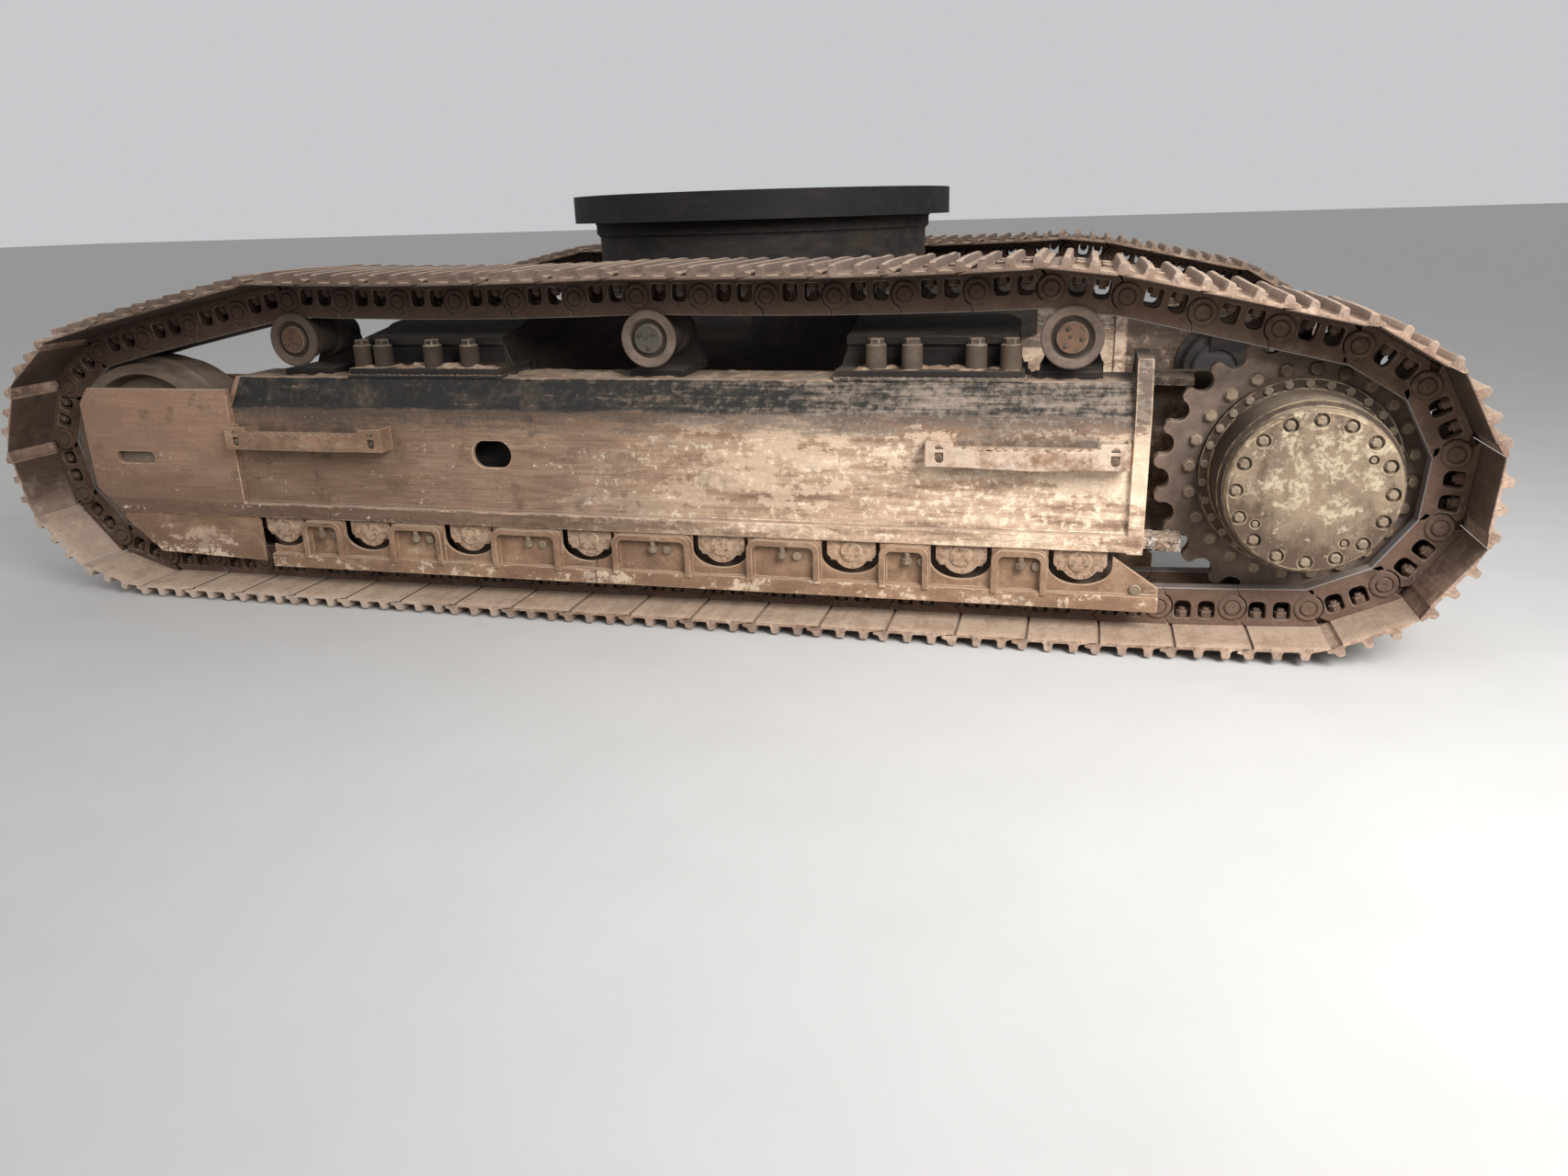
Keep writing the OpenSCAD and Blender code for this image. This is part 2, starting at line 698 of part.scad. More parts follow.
// Rear bracket: a web with a round seat for the final drive, and a top flange
module rear_bracket() {
    r = hub_r + 5;
    across(bracket_out, bracket_in) difference() {
        union() {
            translate([-sprocket_x, sprocket_z]) circle(r = r);
            polygon([
                [end_rear - 1, frame_z], [-sprocket_x + 60, sprocket_z - r + 8],
                [-sprocket_x, sprocket_z], [-sprocket_x + 20, sprocket_z + r - 2], [end_rear - 1, frame_top]
            ]);
        }
        translate([-sprocket_x, sprocket_z]) circle(r = motor_r + 20);
    }
    across(bracket_in - 1, -40) polygon([
        [end_rear - 1, frame_top - 30], [end_rear - end_t - 130, frame_top - 34],
        [end_rear - end_t - 130, frame_top - 8], [end_rear - 1, frame_top]
    ]);
}

// Scraper that keeps stones from the sprocket
module scraper() {
    translate([end_rear - end_t - 112, tooth_w / 2 + 14, frame_z - 8]) cube([113, 90, 40]);
}

// Roller guard: a notched plate with a bar along its foot and ribbed pockets
guard_rear = end_rear - 100;
guard_front = roller_xs[len(roller_xs) - 1] + 50;
module roller_guard(s) {
    plate_in = half_w + seat;
    plate_t = 12;
    color("#9c8470") mirror([0, s > 0 ? 0 : 1, 0]) {
        across(plate_in, plate_in + plate_t) difference() {
            polygon([
                [guard_rear, guard_z], [guard_front, guard_z], [guard_front, frame_z],
                [end_rear + 60, frame_z], [guard_rear, frame_z - 110]
            ]);
            for (x = roller_xs) translate([x, 0]) {
                translate([-notch_r, roller_z - 12]) square([2 * notch_r, frame_z]);
                translate([0, roller_z - 12]) scale([1, 0.62]) circle(r = notch_r);
            }
        }
        across(plate_in, plate_in + plate_t + 20) polygon([
            [guard_rear, guard_z], [guard_front, guard_z], [guard_front, guard_z + guard_bar],
            [guard_rear, guard_z + guard_bar]
        ]);
        for (i = [0:len(roller_xs) - 2]) across(plate_in, plate_in + rib_out)
            pocket_rib(roller_xs[i] + notch_r + 2, roller_xs[i + 1] - notch_r - 2);
        front_guard(plate_in);
    }
}

// An inverted U between two rollers
module pocket_rib(x0, x1) {
    rib = 20;
    corner = 36;
    difference() {
        rib_outline(x0, x1, frame_z - 2, corner);
        rib_outline(x0 + rib, x1 - rib, frame_z - 2 - rib, corner - rib + 4);
    }
}

module rib_outline(x0, x1, top, corner) {
    translate([x0, guard_z + guard_bar - 10]) square([x1 - x0, top - corner - guard_z - guard_bar + 10]);
    translate([x0 + corner, guard_z + guard_bar - 10])
        square([x1 - x0 - 2 * corner, top - guard_z - guard_bar + 10]);
    for (x = [x0 + corner, x1 - corner]) translate([x, top - corner]) circle(r = corner);
}

// Closed guard between the front roller and the idler
module front_guard(y) {
    across(y, y + 14) polygon([
        [guard_front + 45, guard_z + 14], [idler_x - 30, guard_z + 31], [idler_x + 110, frame_z - 26],
        [idler_x + 100, frame_z], [guard_front + 45, frame_z]
    ]);
}

// Steps: a tread on two cheeks behind a front plate with a toothed middle and a slot in each end
step_up = 261;
step_low = frame_z + step_up;
step_h = 80;
step_dip = 14;
step_end = 84;
step_t = 10;
notch = 9;
step_rows = [[at_station(2.28), at_station(5.04)], [at_station(13.66), at_station(16.56)]];
module steps() {
    color("#8f7660") for (row = step_rows) {
        len = row[1] - row[0];
        tread_z = step_low + step_h - step_dip - notch - step_t - 3;
        translate([row[0], 0, 0]) {
            across(half_w + step_out - step_t, half_w + step_out) translate([0, step_low]) step_face(len);
            translate([0, half_w, tread_z]) linear_extrude(step_t) step_tread(len);
            for (x = [0, len - step_t]) translate([x, half_w, step_low]) cube([step_t, step_out, step_h]);
        }
    }
}

module step_face(len) {
    count = floor((len - 2 * step_end) / (3.2 * notch));
    pitch = (len - 2 * step_end) / count;
    difference() {
        union() {
            square([len, step_h - step_dip]);
            for (x = [0, len - step_end]) translate([x, 0]) square([step_end, step_h]);
        }
        for (x = [step_end / 2, len - step_end / 2]) translate([x, step_h / 2]) rotate(90) stadium(56, 26);
        for (i = [1:count - 1]) translate([step_end + i * pitch, step_h - step_dip]) circle(r = notch);
    }
}

module step_tread(len) {
    holes = 12;
    difference() {
        square([len, step_out]);
        for (i = [1:holes - 1]) translate([i * len / holes, step_out / 2 - 5]) circle(r = len / holes * 0.24);
    }
}

// Sleeves and heads of the long bolts that hold the carbody's feet
sleeve_edge = 43;
foot_end = foot_len / 2 - sleeve_edge;
sleeve_offsets = [[-foot_end, -145, 52, 165], [-163, -23, 171, foot_end]];
sleeve_y = frame_top_w / 2 - 36;
module joint_bolts() {
    color("#86796a") for (i = [0, 1], dx = sleeve_offsets[i])
        translate([foot_xs[i] + dx, sleeve_y, pad_top]) {
            cylinder(r = sleeve_r, h = sleeve_h);
            translate([0, 0, sleeve_h - 1]) cylinder(r = 26, h = 20, $fn = HEX);
        }
}

// Carbody: an eight-sided box, open at the top under the slewing ring and below behind its cover
chamfer = 190;
drum_wall = 40;
floor_z = belly_z + 150;
pedestal_top = box_top + pedestal_h + flange_t;
inner_y = gauge / 2 - half_w;
belly_hole = 480;
floor_t = 40;
module box_outline() {
    c = box_half - chamfer;
    polygon([
        [box_half, -c], [box_half, c], [c, box_half], [-c, box_half],
        [-box_half, c], [-box_half, -c], [-c, -box_half], [c, -box_half]
    ]);
}

module carbody() {
    color("#2c2b2d") difference() {
        translate([0, 0, belly_z]) linear_extrude(box_top - belly_z) box_outline();
        translate([0, 0, floor_z]) cylinder(r = pedestal_r - drum_wall, h = box_top - floor_z + 1);
        translate([-belly_hole / 2, -belly_hole / 2, belly_z - 1])
            cube([belly_hole, belly_hole, floor_z - floor_t - belly_z + 1]);
    }
}

// Pedestal: a drum on the centre box with a flange for the slewing ring
module ring_pedestal() {
    color("#2c2b2d") translate([0, 0, box_top]) difference() {
        union() {
            cylinder(r = pedestal_r, h = pedestal_h);
            translate([0, 0, pedestal_h]) cylinder(r = race_r - 4, h = flange_t);
        }
        translate([0, 0, -1]) cylinder(r = pedestal_r - drum_wall, h = pedestal_h + 1);
        cylinder(r = bore_r, h = pedestal_h + flange_t + 1);
    }
}

// The two legs of one side, welded to the centre box
module legs() {
    color("#2c2b2d") difference() {
        for (foot = foot_xs) leg(foot);
        translate([0, 0, belly_z - 20]) linear_extrude(box_top) box_outline();
    }
}

// One leg: its outline from above crossed with its outline from the front, with a gusset at each end
gusset_t = 22;
gusset_h = 66;
module leg(foot) {
    way = foot > 0 ? 1 : -1;
    half = foot_len / 2 - 26;
    far = gauge / 2 + 14;
    root = box_half - 40;
    intersection() {
        translate([0, 0, belly_z - 10]) linear_extrude(box_top) polygon([
            [way * 90, root], [foot - way * half, inner_y - 60], [foot - way * half, far + 40],
            [foot + way * half, far + 40], [foot + way * half, inner_y + 30],
            [way * (box_half - chamfer / 2), root], [way * (box_half - chamfer), root - 60],
            [way * 90, root - 60]
        ]);
        lengthways(-2 * sprocket_x, 2 * sprocket_x) polygon([
            [root - 60, belly_z], [root, belly_z], [inner_y - 10, belly_z + 60],
            [inner_y - 10, pad_top - 12], [far, pad_top - 12], [far, pad_top + 70], [far + 20, pad_top + 70],
            [far + 20, pad_top + 96], [inner_y + 60, pad_top + 118], [inner_y, pad_top + 140],
            [root, box_top], [root - 60, box_top]
        ]);
    }
    for (s = [-1, 1]) across(far - gusset_t - 4, far - 4) polygon([
        [foot + s * (half - 1), pad_top - 1], [foot + s * (foot_len / 2 - 4), pad_top - 1],
        [foot + s * (half - 1), pad_top + gusset_h]
    ]);
    translate([foot - foot_len / 2, gauge / 2 - frame_top_w / 2, frame_top])
        cube([foot_len, frame_top_w, pad_t]);
}

// Cover bolted under the centre box
belly_lap = 40;
belly_t = 12;
module belly_plate() {
    half = belly_hole / 2 + belly_lap;
    bolt = belly_hole / 2 + belly_lap / 2 - 5;
    color("#4b4742") translate([0, 0, belly_z - belly_t]) difference() {
        linear_extrude(belly_t) cut_square(2 * half, belly_lap - 10);
        for (x = [-bolt, bolt], y = [-bolt, bolt]) translate([x, y, -1]) cylinder(r = 11, h = belly_t + 2);
    }
}

// A square with cut corners
module cut_square(w, cut) {
    h = w / 2;
    k = h - cut;
    polygon([[h, -k], [h, k], [k, h], [-k, h], [-h, k], [-h, -k], [-k, -h], [k, -h]]);
}

// Inner race of the slewing ring with its gear teeth
// Half the width of a gap at its root and at the teeth's tips, as a share of a tooth's turn
gap_root = 0.17;
gap_tip = 0.36;
module slew_inner_race() {
    turn = 360 / gear_teeth;
    color("#57504a") translate([0, 0, pedestal_top]) linear_extrude(race_h) difference() {
        circle(r = race_r - race_gap, $fn = 180);
        polygon([for (k = [0:gear_teeth - 1]) each [
            gear_point(gear_root, (k - gap_root) * turn), gear_point(gear_root, (k + gap_root) * turn),
            gear_point(gear_tip, (k + gap_tip) * turn), gear_point(gear_tip, (k + 1 - gap_tip) * turn)
        ]]);
    }
}
function gear_point(r, a) = [r * cos(a), r * sin(a)];

// Outer race, which turns and carries the upper structure on its ring of holes
module slew_outer_race() {
    lift = 8;
    color("#4a4541") translate([0, 0, pedestal_top + lift]) difference() {
        cylinder(r = ring_r, h = race_h, $fn = 180);
        translate([0, 0, -1]) cylinder(r = race_r, h = race_h + 2, $fn = 180);
        for (k = [0:ring_bolts - 1]) rotate(k * 360 / ring_bolts)
            translate([ring_bolt_r, 0, -1]) cylinder(r = ring_hole_r, h = race_h + 2, $fn = 24);
    }
}

// Swivel joint for the oil, fixed part and turning part
swivel_r = 105;
swivel_h = 380;
port_r = 24;
// Height of each row of ports and the turn of its first port
port_rows = [[110, 0], [250, 30]];
module swivel_body() {
    color("#5d5c58") translate([0, 0, floor_z]) {
        cylinder(r = swivel_r + 50, h = 25);
        cylinder(r = swivel_r, h = swivel_h);
        for (k = [0:5], row = port_rows) rotate(k * 60 + row[1])
            translate([swivel_r - 5, 0, row[0]]) rotate([0, 90, 0]) cylinder(r = port_r, h = 25, $fn = 24);
    }
}

module swivel_rotor() {
    color("#77736c") translate([0, 0, floor_z + swivel_h + seat]) {
        cylinder(r = swivel_r - 20, h = 140);
        translate([0, 0, 130]) cylinder(r = swivel_r + 5, h = 24);
    }
}

carbody();
ring_pedestal();
legs();  // legs_left
mirror([0, 1, 0]) legs();  // legs_right
belly_plate();
slew_inner_race();
slew_outer_race();
swivel_body();
swivel_rotor();
on_side(LEFT) side_frame();  // side_frame_left
on_side(RIGHT) side_frame();  // side_frame_right
on_side(LEFT) track();  // track_left
on_side(RIGHT) track();  // track_right
on_side(LEFT) track_links();  // track_links_left
on_side(RIGHT) track_links();  // track_links_right
on_side(LEFT) sprocket();  // sprocket_left
on_side(RIGHT) sprocket();  // sprocket_right
on_side(LEFT) final_drive();  // final_drive_left
on_side(RIGHT) final_drive();  // final_drive_right
on_side(LEFT) travel_motor();  // travel_motor_left
on_side(RIGHT) travel_motor();  // travel_motor_right
on_side(LEFT) motor_guard();  // motor_guard_left
on_side(RIGHT) motor_guard();  // motor_guard_right
on_side(LEFT) idler();  // idler_left
on_side(RIGHT) idler();  // idler_right
on_side(LEFT) idler_yoke();  // idler_yoke_left
on_side(RIGHT) idler_yoke();  // idler_yoke_right
on_side(LEFT) track_adjuster();  // track_adjuster_left
on_side(RIGHT) track_adjuster();  // track_adjuster_right
on_side(LEFT) track_rollers();  // track_rollers_left
on_side(RIGHT) track_rollers();  // track_rollers_right
on_side(LEFT) roller_collars();  // roller_collars_left
on_side(RIGHT) roller_collars();  // roller_collars_right
on_side(LEFT) carrier_rollers();  // carrier_rollers_left
on_side(RIGHT) carrier_rollers();  // carrier_rollers_right
on_side(LEFT) carrier_brackets();  // carrier_brackets_left
on_side(RIGHT) carrier_brackets();  // carrier_brackets_right
on_side(LEFT) roller_guard(1);  // outer_guard_left
on_side(RIGHT) roller_guard(1);  // outer_guard_right
on_side(LEFT) roller_guard(-1);  // inner_guard_left
on_side(RIGHT) roller_guard(-1);  // inner_guard_right
on_side(LEFT) steps();  // steps_left
on_side(RIGHT) steps();  // steps_right
on_side(LEFT) joint_bolts();  // joint_bolts_left
on_side(RIGHT) joint_bolts();  // joint_bolts_right
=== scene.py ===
"""Crawler undercarriage: finishes, track chains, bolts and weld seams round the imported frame."""
import json
import math
import random

import bmesh
import bpy
from mathutils import Euler, Matrix, Vector, noise


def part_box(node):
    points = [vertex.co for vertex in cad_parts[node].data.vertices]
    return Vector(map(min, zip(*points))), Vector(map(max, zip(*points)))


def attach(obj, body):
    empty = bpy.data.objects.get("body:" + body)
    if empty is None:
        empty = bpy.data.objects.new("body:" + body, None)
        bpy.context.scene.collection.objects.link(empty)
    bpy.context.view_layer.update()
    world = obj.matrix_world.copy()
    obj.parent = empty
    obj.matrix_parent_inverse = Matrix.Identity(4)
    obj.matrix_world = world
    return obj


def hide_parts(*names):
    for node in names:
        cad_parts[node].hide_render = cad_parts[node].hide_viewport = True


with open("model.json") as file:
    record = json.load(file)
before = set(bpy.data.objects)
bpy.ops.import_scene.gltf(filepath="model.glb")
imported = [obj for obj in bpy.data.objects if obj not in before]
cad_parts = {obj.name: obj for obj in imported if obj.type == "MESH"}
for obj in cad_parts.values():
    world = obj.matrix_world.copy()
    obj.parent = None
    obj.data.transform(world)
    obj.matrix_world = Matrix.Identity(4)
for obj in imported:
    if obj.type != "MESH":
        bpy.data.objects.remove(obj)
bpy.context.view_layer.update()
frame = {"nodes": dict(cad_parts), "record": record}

BASE = "undercarriage"
SIDES = (("left", 1), ("right", -1))
DICE = random.Random(7)


# Places taken from the frame, in metres

def middle(node):
    """Middle of a CAD node's box."""
    low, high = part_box(node)
    return (low + high) / 2


def spans(node, gap=0.01):
    """Lowest and highest place along X of each group of points that a gap sets apart."""
    places = sorted(v.co.x for v in frame["nodes"][node].data.vertices)
    groups = [[places[0], places[0]]]
    for place in places:
        if place - groups[-1][1] > gap:
            groups.append([place, place])
        groups[-1][1] = place
    return groups


def centres(node):
    """Middle along X of each separate part of a node."""
    return [(low + high) / 2 for low, high in spans(node)]


HALF_GAUGE = middle("track_left").y
SPROCKET = middle("final_drive_left")
ROLLERS = centres("track_rollers_left")
ROLLER_Z = middle("track_rollers_left").z
CARRIERS = centres("carrier_rollers_left")
CARRIER_Z = middle("carrier_rollers_left").z
GUARD_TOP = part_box("outer_guard_left")[1].z
INNER_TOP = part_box("slew_inner_race")[1].z
STEPS = spans("steps_left", gap=0.2)

# Chain: pitch, half a shoe's width, and heights over the pin line
PITCH = 0.216
SHOE_HALF = 0.3
PIN_H = 0.06
PLATE_TOP = 0.073
TIP_TOP = 0.105

# Distance between grousers, and of the rails' inner, middle and outer faces from the track's middle
GROUSER_GAP = 0.076
RAIL_IN = 0.062
RAIL_MID = 0.086
RAIL_OUT = 0.11

# Heights of the side frame's lower lip, shoulder and top
LIP_Z = 0.356
SHOULDER_Z = 0.702
FRAME_TOP_Z = 0.8

# Ends of the side frame's box and of its end plate, and half the box's width
BOX_REAR = -1.5302
END_REAR = -1.5772
BOX_FRONT = 1.5908
HALF_W = 0.18

# Foot of the steps' teeth, and the plain length at a step's ends
TEETH_Z = 0.616
STEP_END = 0.084

# Faces that look outwards, as distances from the track's middle
DRUM_Y = 0.225
COVER_EDGE_Y = 0.262
COVER_Y = 0.28
SEAT_DEEP = 0.012
GUARD_Y = 0.1924
COLLAR_Y = 0.187
CAP_Y = 0.1845
STEP_Y = 0.25
CARRIER_FACE = 0.125
CARRIER_RIM = 0.0925
SPROCKET_FACE = 0.025
HUB_FACE = 0.049

# Height over which sleeves, carrier rollers and dirt on the frame's top stand
ON_TOP_Z = 0.8


# Shader expressions

def paint(code):
    """A linear colour from a hexadecimal one."""
    parts = [int(code[i:i + 2], 16) / 255 for i in (1, 3, 5)]
    return tuple(c / 12.92 if c < 0.04045 else ((c + 0.055) / 1.055) ** 2.4 for c in parts) + (1,)


class Value:
    """A shader socket that sums and products can be written with."""

    def __init__(self, finish, socket):
        self.finish = finish
        self.socket = socket

    def sum_of(self, operation, first, second):
        return self.finish.node("ShaderNodeMath", {"operation": operation}, {0: first, 1: second})

    def __add__(self, other):
        return self.sum_of("ADD", self, other)

    def __sub__(self, other):
        return self.sum_of("SUBTRACT", self, other)

    def __rsub__(self, other):
        return self.sum_of("SUBTRACT", other, self)

    def __mul__(self, other):
        return self.sum_of("MULTIPLY", self, other)

    __radd__ = __add__
    __rmul__ = __mul__


class Finish:
    """One material with its grain. node() adds any shader node; the rest are short forms of it."""

    def __init__(self, name, streak=(1, 1, 1)):
        self.material = bpy.data.materials.new(name)
        self.material.use_nodes = True
        self.tree = self.material.node_tree
        self.tree.nodes.clear()
        self.place = self.node("ShaderNodeTexCoord", output="Object")
        self.drawn = self.noise(1.0, 7, 0.66, streak, 3.1)
        self.blotch = self.noise(9, 6, 0.68, shift=7.7)
        self.fine = self.noise(44, 6, 0.66, shift=5.2)

    def node(self, kind, settings=None, inputs=None, output=0):
        made = self.tree.nodes.new(kind)
        for key, value in (settings or {}).items():
            setattr(made, key, value)
        for key, value in (inputs or {}).items():
            if isinstance(value, Value):
                self.tree.links.new(value.socket, made.inputs[key])
            else:
                made.inputs[key].default_value = value
        return Value(self, made.outputs[output])

    def noise(self, scale, detail=4, rough=0.55, stretch=(1, 1, 1), shift=0.0, where=None):
        """Noise of so many waves a metre, between 0 and 1."""
        spot = self.node("ShaderNodeMapping", None, {
            "Vector": where or self.place, "Location": (shift, shift * 1.7, shift * 0.6), "Scale": stretch})
        return self.node("ShaderNodeTexNoise", None, {
            "Vector": spot, "Scale": scale, "Detail": detail, "Roughness": rough})

    def level(self, value, low, high):
        """0 under low, 1 over high and a soft step between them."""
        return self.node("ShaderNodeMapRange", {"interpolation_type": "SMOOTHSTEP"}, {
            "Value": value, "From Min": low, "From Max": high})

    def blend(self, share, first, second):
        """The first colour with a share of the second over it."""
        return self.node("ShaderNodeMix", {"data_type": "RGBA"}, {0: share, 6: first, 7: second}, 2)

    def axes(self, where=None):
        """X, Y and Z of a place."""
        made = self.node("ShaderNodeSeparateXYZ", None, {0: where or self.place})
        return [Value(self, out) for out in made.socket.node.outputs]

    def facing_up(self):
        """1 on faces that look up, -1 on those that look down."""
        return self.axes(self.node("ShaderNodeNewGeometry", output="Normal"))[2]

    def aside(self):
        """Distance from the machine's middle plane."""
        return self.node("ShaderNodeMath", {"operation": "ABSOLUTE"}, {0: self.axes()[1]})

    def round_axle(self):
        """Squared distance from the sprocket's axle, and height over it."""
        x, _, z = self.axes()
        across = x - SPROCKET.x
        above = z - SPROCKET.z
        return across * across + above * above, above

    def mark(self, name, output="Fac"):
        """A value or place that the mesh keeps under a name."""
        return self.node("ShaderNodeAttribute", {"attribute_name": name}, None, output)

    def close(self, colour, rough, height, depth):
        """Ends in the surface shader, with a bump of the given depth in metres."""
        normal = self.node("ShaderNodeBump", None, {"Height": height, "Strength": 1.0, "Distance": depth})
        shader = self.node("ShaderNodeBsdfPrincipled", None, {
            "Base Color": colour, "Roughness": rough, "Normal": normal, "Specular IOR Level": 0.35})
        end = self.tree.nodes.new("ShaderNodeOutputMaterial")
        self.tree.links.new(shader.socket, end.inputs["Surface"])
        return self.material


FINISHES = {}


def dusty(name, main, second, dust, bare, grime="#2c231d", dusted=0.5, chipped=0.3, grimed=0.4,
          rough=0.74, depth=0.0016, streak=(3, 16, 22), layers=None):
    """Worn paint or steel: two tones, the piece's own layers, grime, dust on what looks up, bare edges."""
    f = Finish(f"{name}_finish", streak)
    drawn, blotch, fine = f.drawn, f.blotch, f.fine
    broad = f.noise(1.3, 3, 0.6)
    grit = f.noise(170, 3, 0.7, shift=1.3)
    up = f.facing_up()
    tone = f.blend(f.level(broad * 0.5 + drawn * 0.8, 0.52, 0.79), paint(main), paint(second))
    if layers:
        tone = layers(f, tone)
    uneven = drawn * 0.5 + blotch * 0.6 + fine * 0.2 - up * 0.1
    tone = f.blend(f.level(uneven, 0.72 - 0.12 * grimed, 0.84 - 0.1 * grimed) * grimed, tone, paint(grime))
    settled = f.level(up * 0.8 + blotch * 0.4 + fine * 0.25, 0.86 - 0.2 * dusted, 1.3 - 0.34 * dusted)
    film = f.level(broad * 0.5 + fine * 0.6, 0.72 - 0.3 * dusted, 0.95)
    mixed = f.level(drawn * 0.45 + blotch * 0.35 + fine * 0.3, 0.5, 0.62) * 0.75
    tone = f.blend(settled * 0.85, tone, f.blend(mixed, paint(dust), paint(main)))
    tone = f.blend(film * 0.4 * dusted, tone, paint(dust))
    edge = f.mark("worn") * f.level(blotch * 0.7 + fine * 0.5, 0.5, 0.72)
    specks = drawn * 0.45 + fine * 0.35 + grit * 0.3
    chips = f.level(specks, 0.70 - 0.12 * chipped, 0.72 - 0.1 * chipped)
    tone = f.blend(chips * chipped, tone, paint(bare))
    tone = f.blend(edge * 0.5, tone, paint(bare))
    tone = f.blend(f.level(grit, 0.35, 0.75) * 0.18, tone, paint("#17120f"))
    height = blotch * 0.8 + fine * 0.8 + grit * 0.3 + settled * 0.3 - chips * 0.3 * chipped
    FINISHES[name] = f.close(tone, rough + grit * 0.2 - edge * 0.16, height, depth)


def along_steps(f, x):
    """1 along the toothed middle of each step."""
    share = 0.0
    for low, high in STEPS:
        after = f.level(x, low + STEP_END, low + STEP_END + 0.01)
        before = 1.0 - f.level(x, high - STEP_END - 0.01, high - STEP_END)
        share = after * before + share
    return share


def frame_layers(f, tone):
    """Paint worn pale towards the sprocket, black shoulders, dirt and painted shade by the steps, painted
    shade and a dirty scraper at the rear.
    """
    drawn, blotch, fine = f.drawn, f.blotch, f.fine
    x, _, z = f.axes()
    rear = 1.0 - f.level(x, -1.3, 0.8)
    front = 1.0 - rear
    hair = f.noise(1.0, 5, 0.6, (5, 60, 140), 9.4)
    tone = f.blend(f.level(hair * 0.8 + drawn * 0.4, 0.53, 0.72) * 0.45, tone, paint("#553e30"))
    tone = f.blend(f.level(blotch * 0.8 + fine * 0.2, 0.52, 0.66) * 0.35, tone, paint("#5f4636"))
    tone = f.blend(front * 0.4, tone, paint("#67503f"))
    # Painted shade below the lower lip, towards the front
    shade_under_lip = 1.0 - f.level(z, LIP_Z - 0.004, LIP_Z)
    tone = f.blend(front * shade_under_lip * 0.5, tone, paint("#4d3a2f"))
    pale = (f.level(z, 0.69, 0.5) * 0.5 + 0.4) * rear * f.level(drawn * 0.8 + fine * 0.3, 0.4, 0.66)
    tone = f.blend(pale, tone, paint("#d0b59b"))
    flakes = f.noise(6, 9, 0.72, (0.55, 1, 1.5), 6.3)
    flaked = f.level(flakes * 0.85 + fine * 0.2 + rear * 0.055, 0.575, 0.6)
    tone = f.blend(flaked * (rear * 0.62 + 0.04), tone, paint("#dcc2a8"))
    scar = f.level(drawn * 0.35 + fine * 0.5 + hair * 0.2 + rear * 0.055, 0.605, 0.63)
    tone = f.blend(scar * 0.7, tone, paint("#e3cfb8"))
    # Dark dirt and painted shade on the wall round the steps' teeth
    above_step = f.level(z, 0.585, 0.6) * (1.0 - f.level(z + fine * 0.05 + drawn * 0.05, 0.665, 0.72))
    soot_and_shade = along_steps(f, x) * above_step * f.level(blotch * 0.7 + fine * 0.4, 0.44, 0.58)
    tone = f.blend(soot_and_shade * 0.85, tone, paint("#4f4238"))
    fork = f.level(x, BOX_FRONT - 0.03, BOX_FRONT - 0.02)
    spill = f.level(z + drawn * 0.3 + fine * 0.12, 0.825, 0.91) * (1.0 - fork)
    tone = f.blend(spill * 0.72, tone, paint("#3b3532"))
    tone = f.blend(fork * (f.level(z, 0.35, 0.6) * 0.3 + 0.08), tone, paint("#a9826a"))
    within = f.level(x, BOX_REAR - 0.002, BOX_REAR + 0.001)
    within = within * (1.0 - f.level(x, BOX_FRONT - 0.024, BOX_FRONT - 0.021))
    shoulder = f.level(z + drawn * 0.05 + fine * 0.02, SHOULDER_Z + 0.028, SHOULDER_Z + 0.04) * within
    black = f.blend(f.level(drawn * 0.7 + blotch * 0.4, 0.54, 0.76), paint("#23221f"), paint("#493c34"))
    worn_off = f.level(fine * 0.45 + hair * 0.35 + drawn * 0.35 + rear * 0.16, 0.62, 0.86)
    tone = f.blend(shoulder, tone, f.blend(worn_off * 0.74, black, paint("#998879")))
    # Painted shade in patches behind the end plate
    behind = 1.0 - f.level(x, END_REAR - 0.02, END_REAR - 0.004)
    tone = f.blend(behind * f.level(blotch, 0.25, 0.5) * 0.85, tone, paint("#33261f"))
    outside = f.level(f.aside(), HALF_GAUGE + 0.02, HALF_GAUGE + 0.03)
    scraper = behind * outside * (1.0 - f.level(z, 0.336, 0.344))
    return f.blend(scraper * f.level(fine * 0.7 + blotch * 0.4, 0.5, 0.6) * 0.9, tone, paint("#b7ada2"))


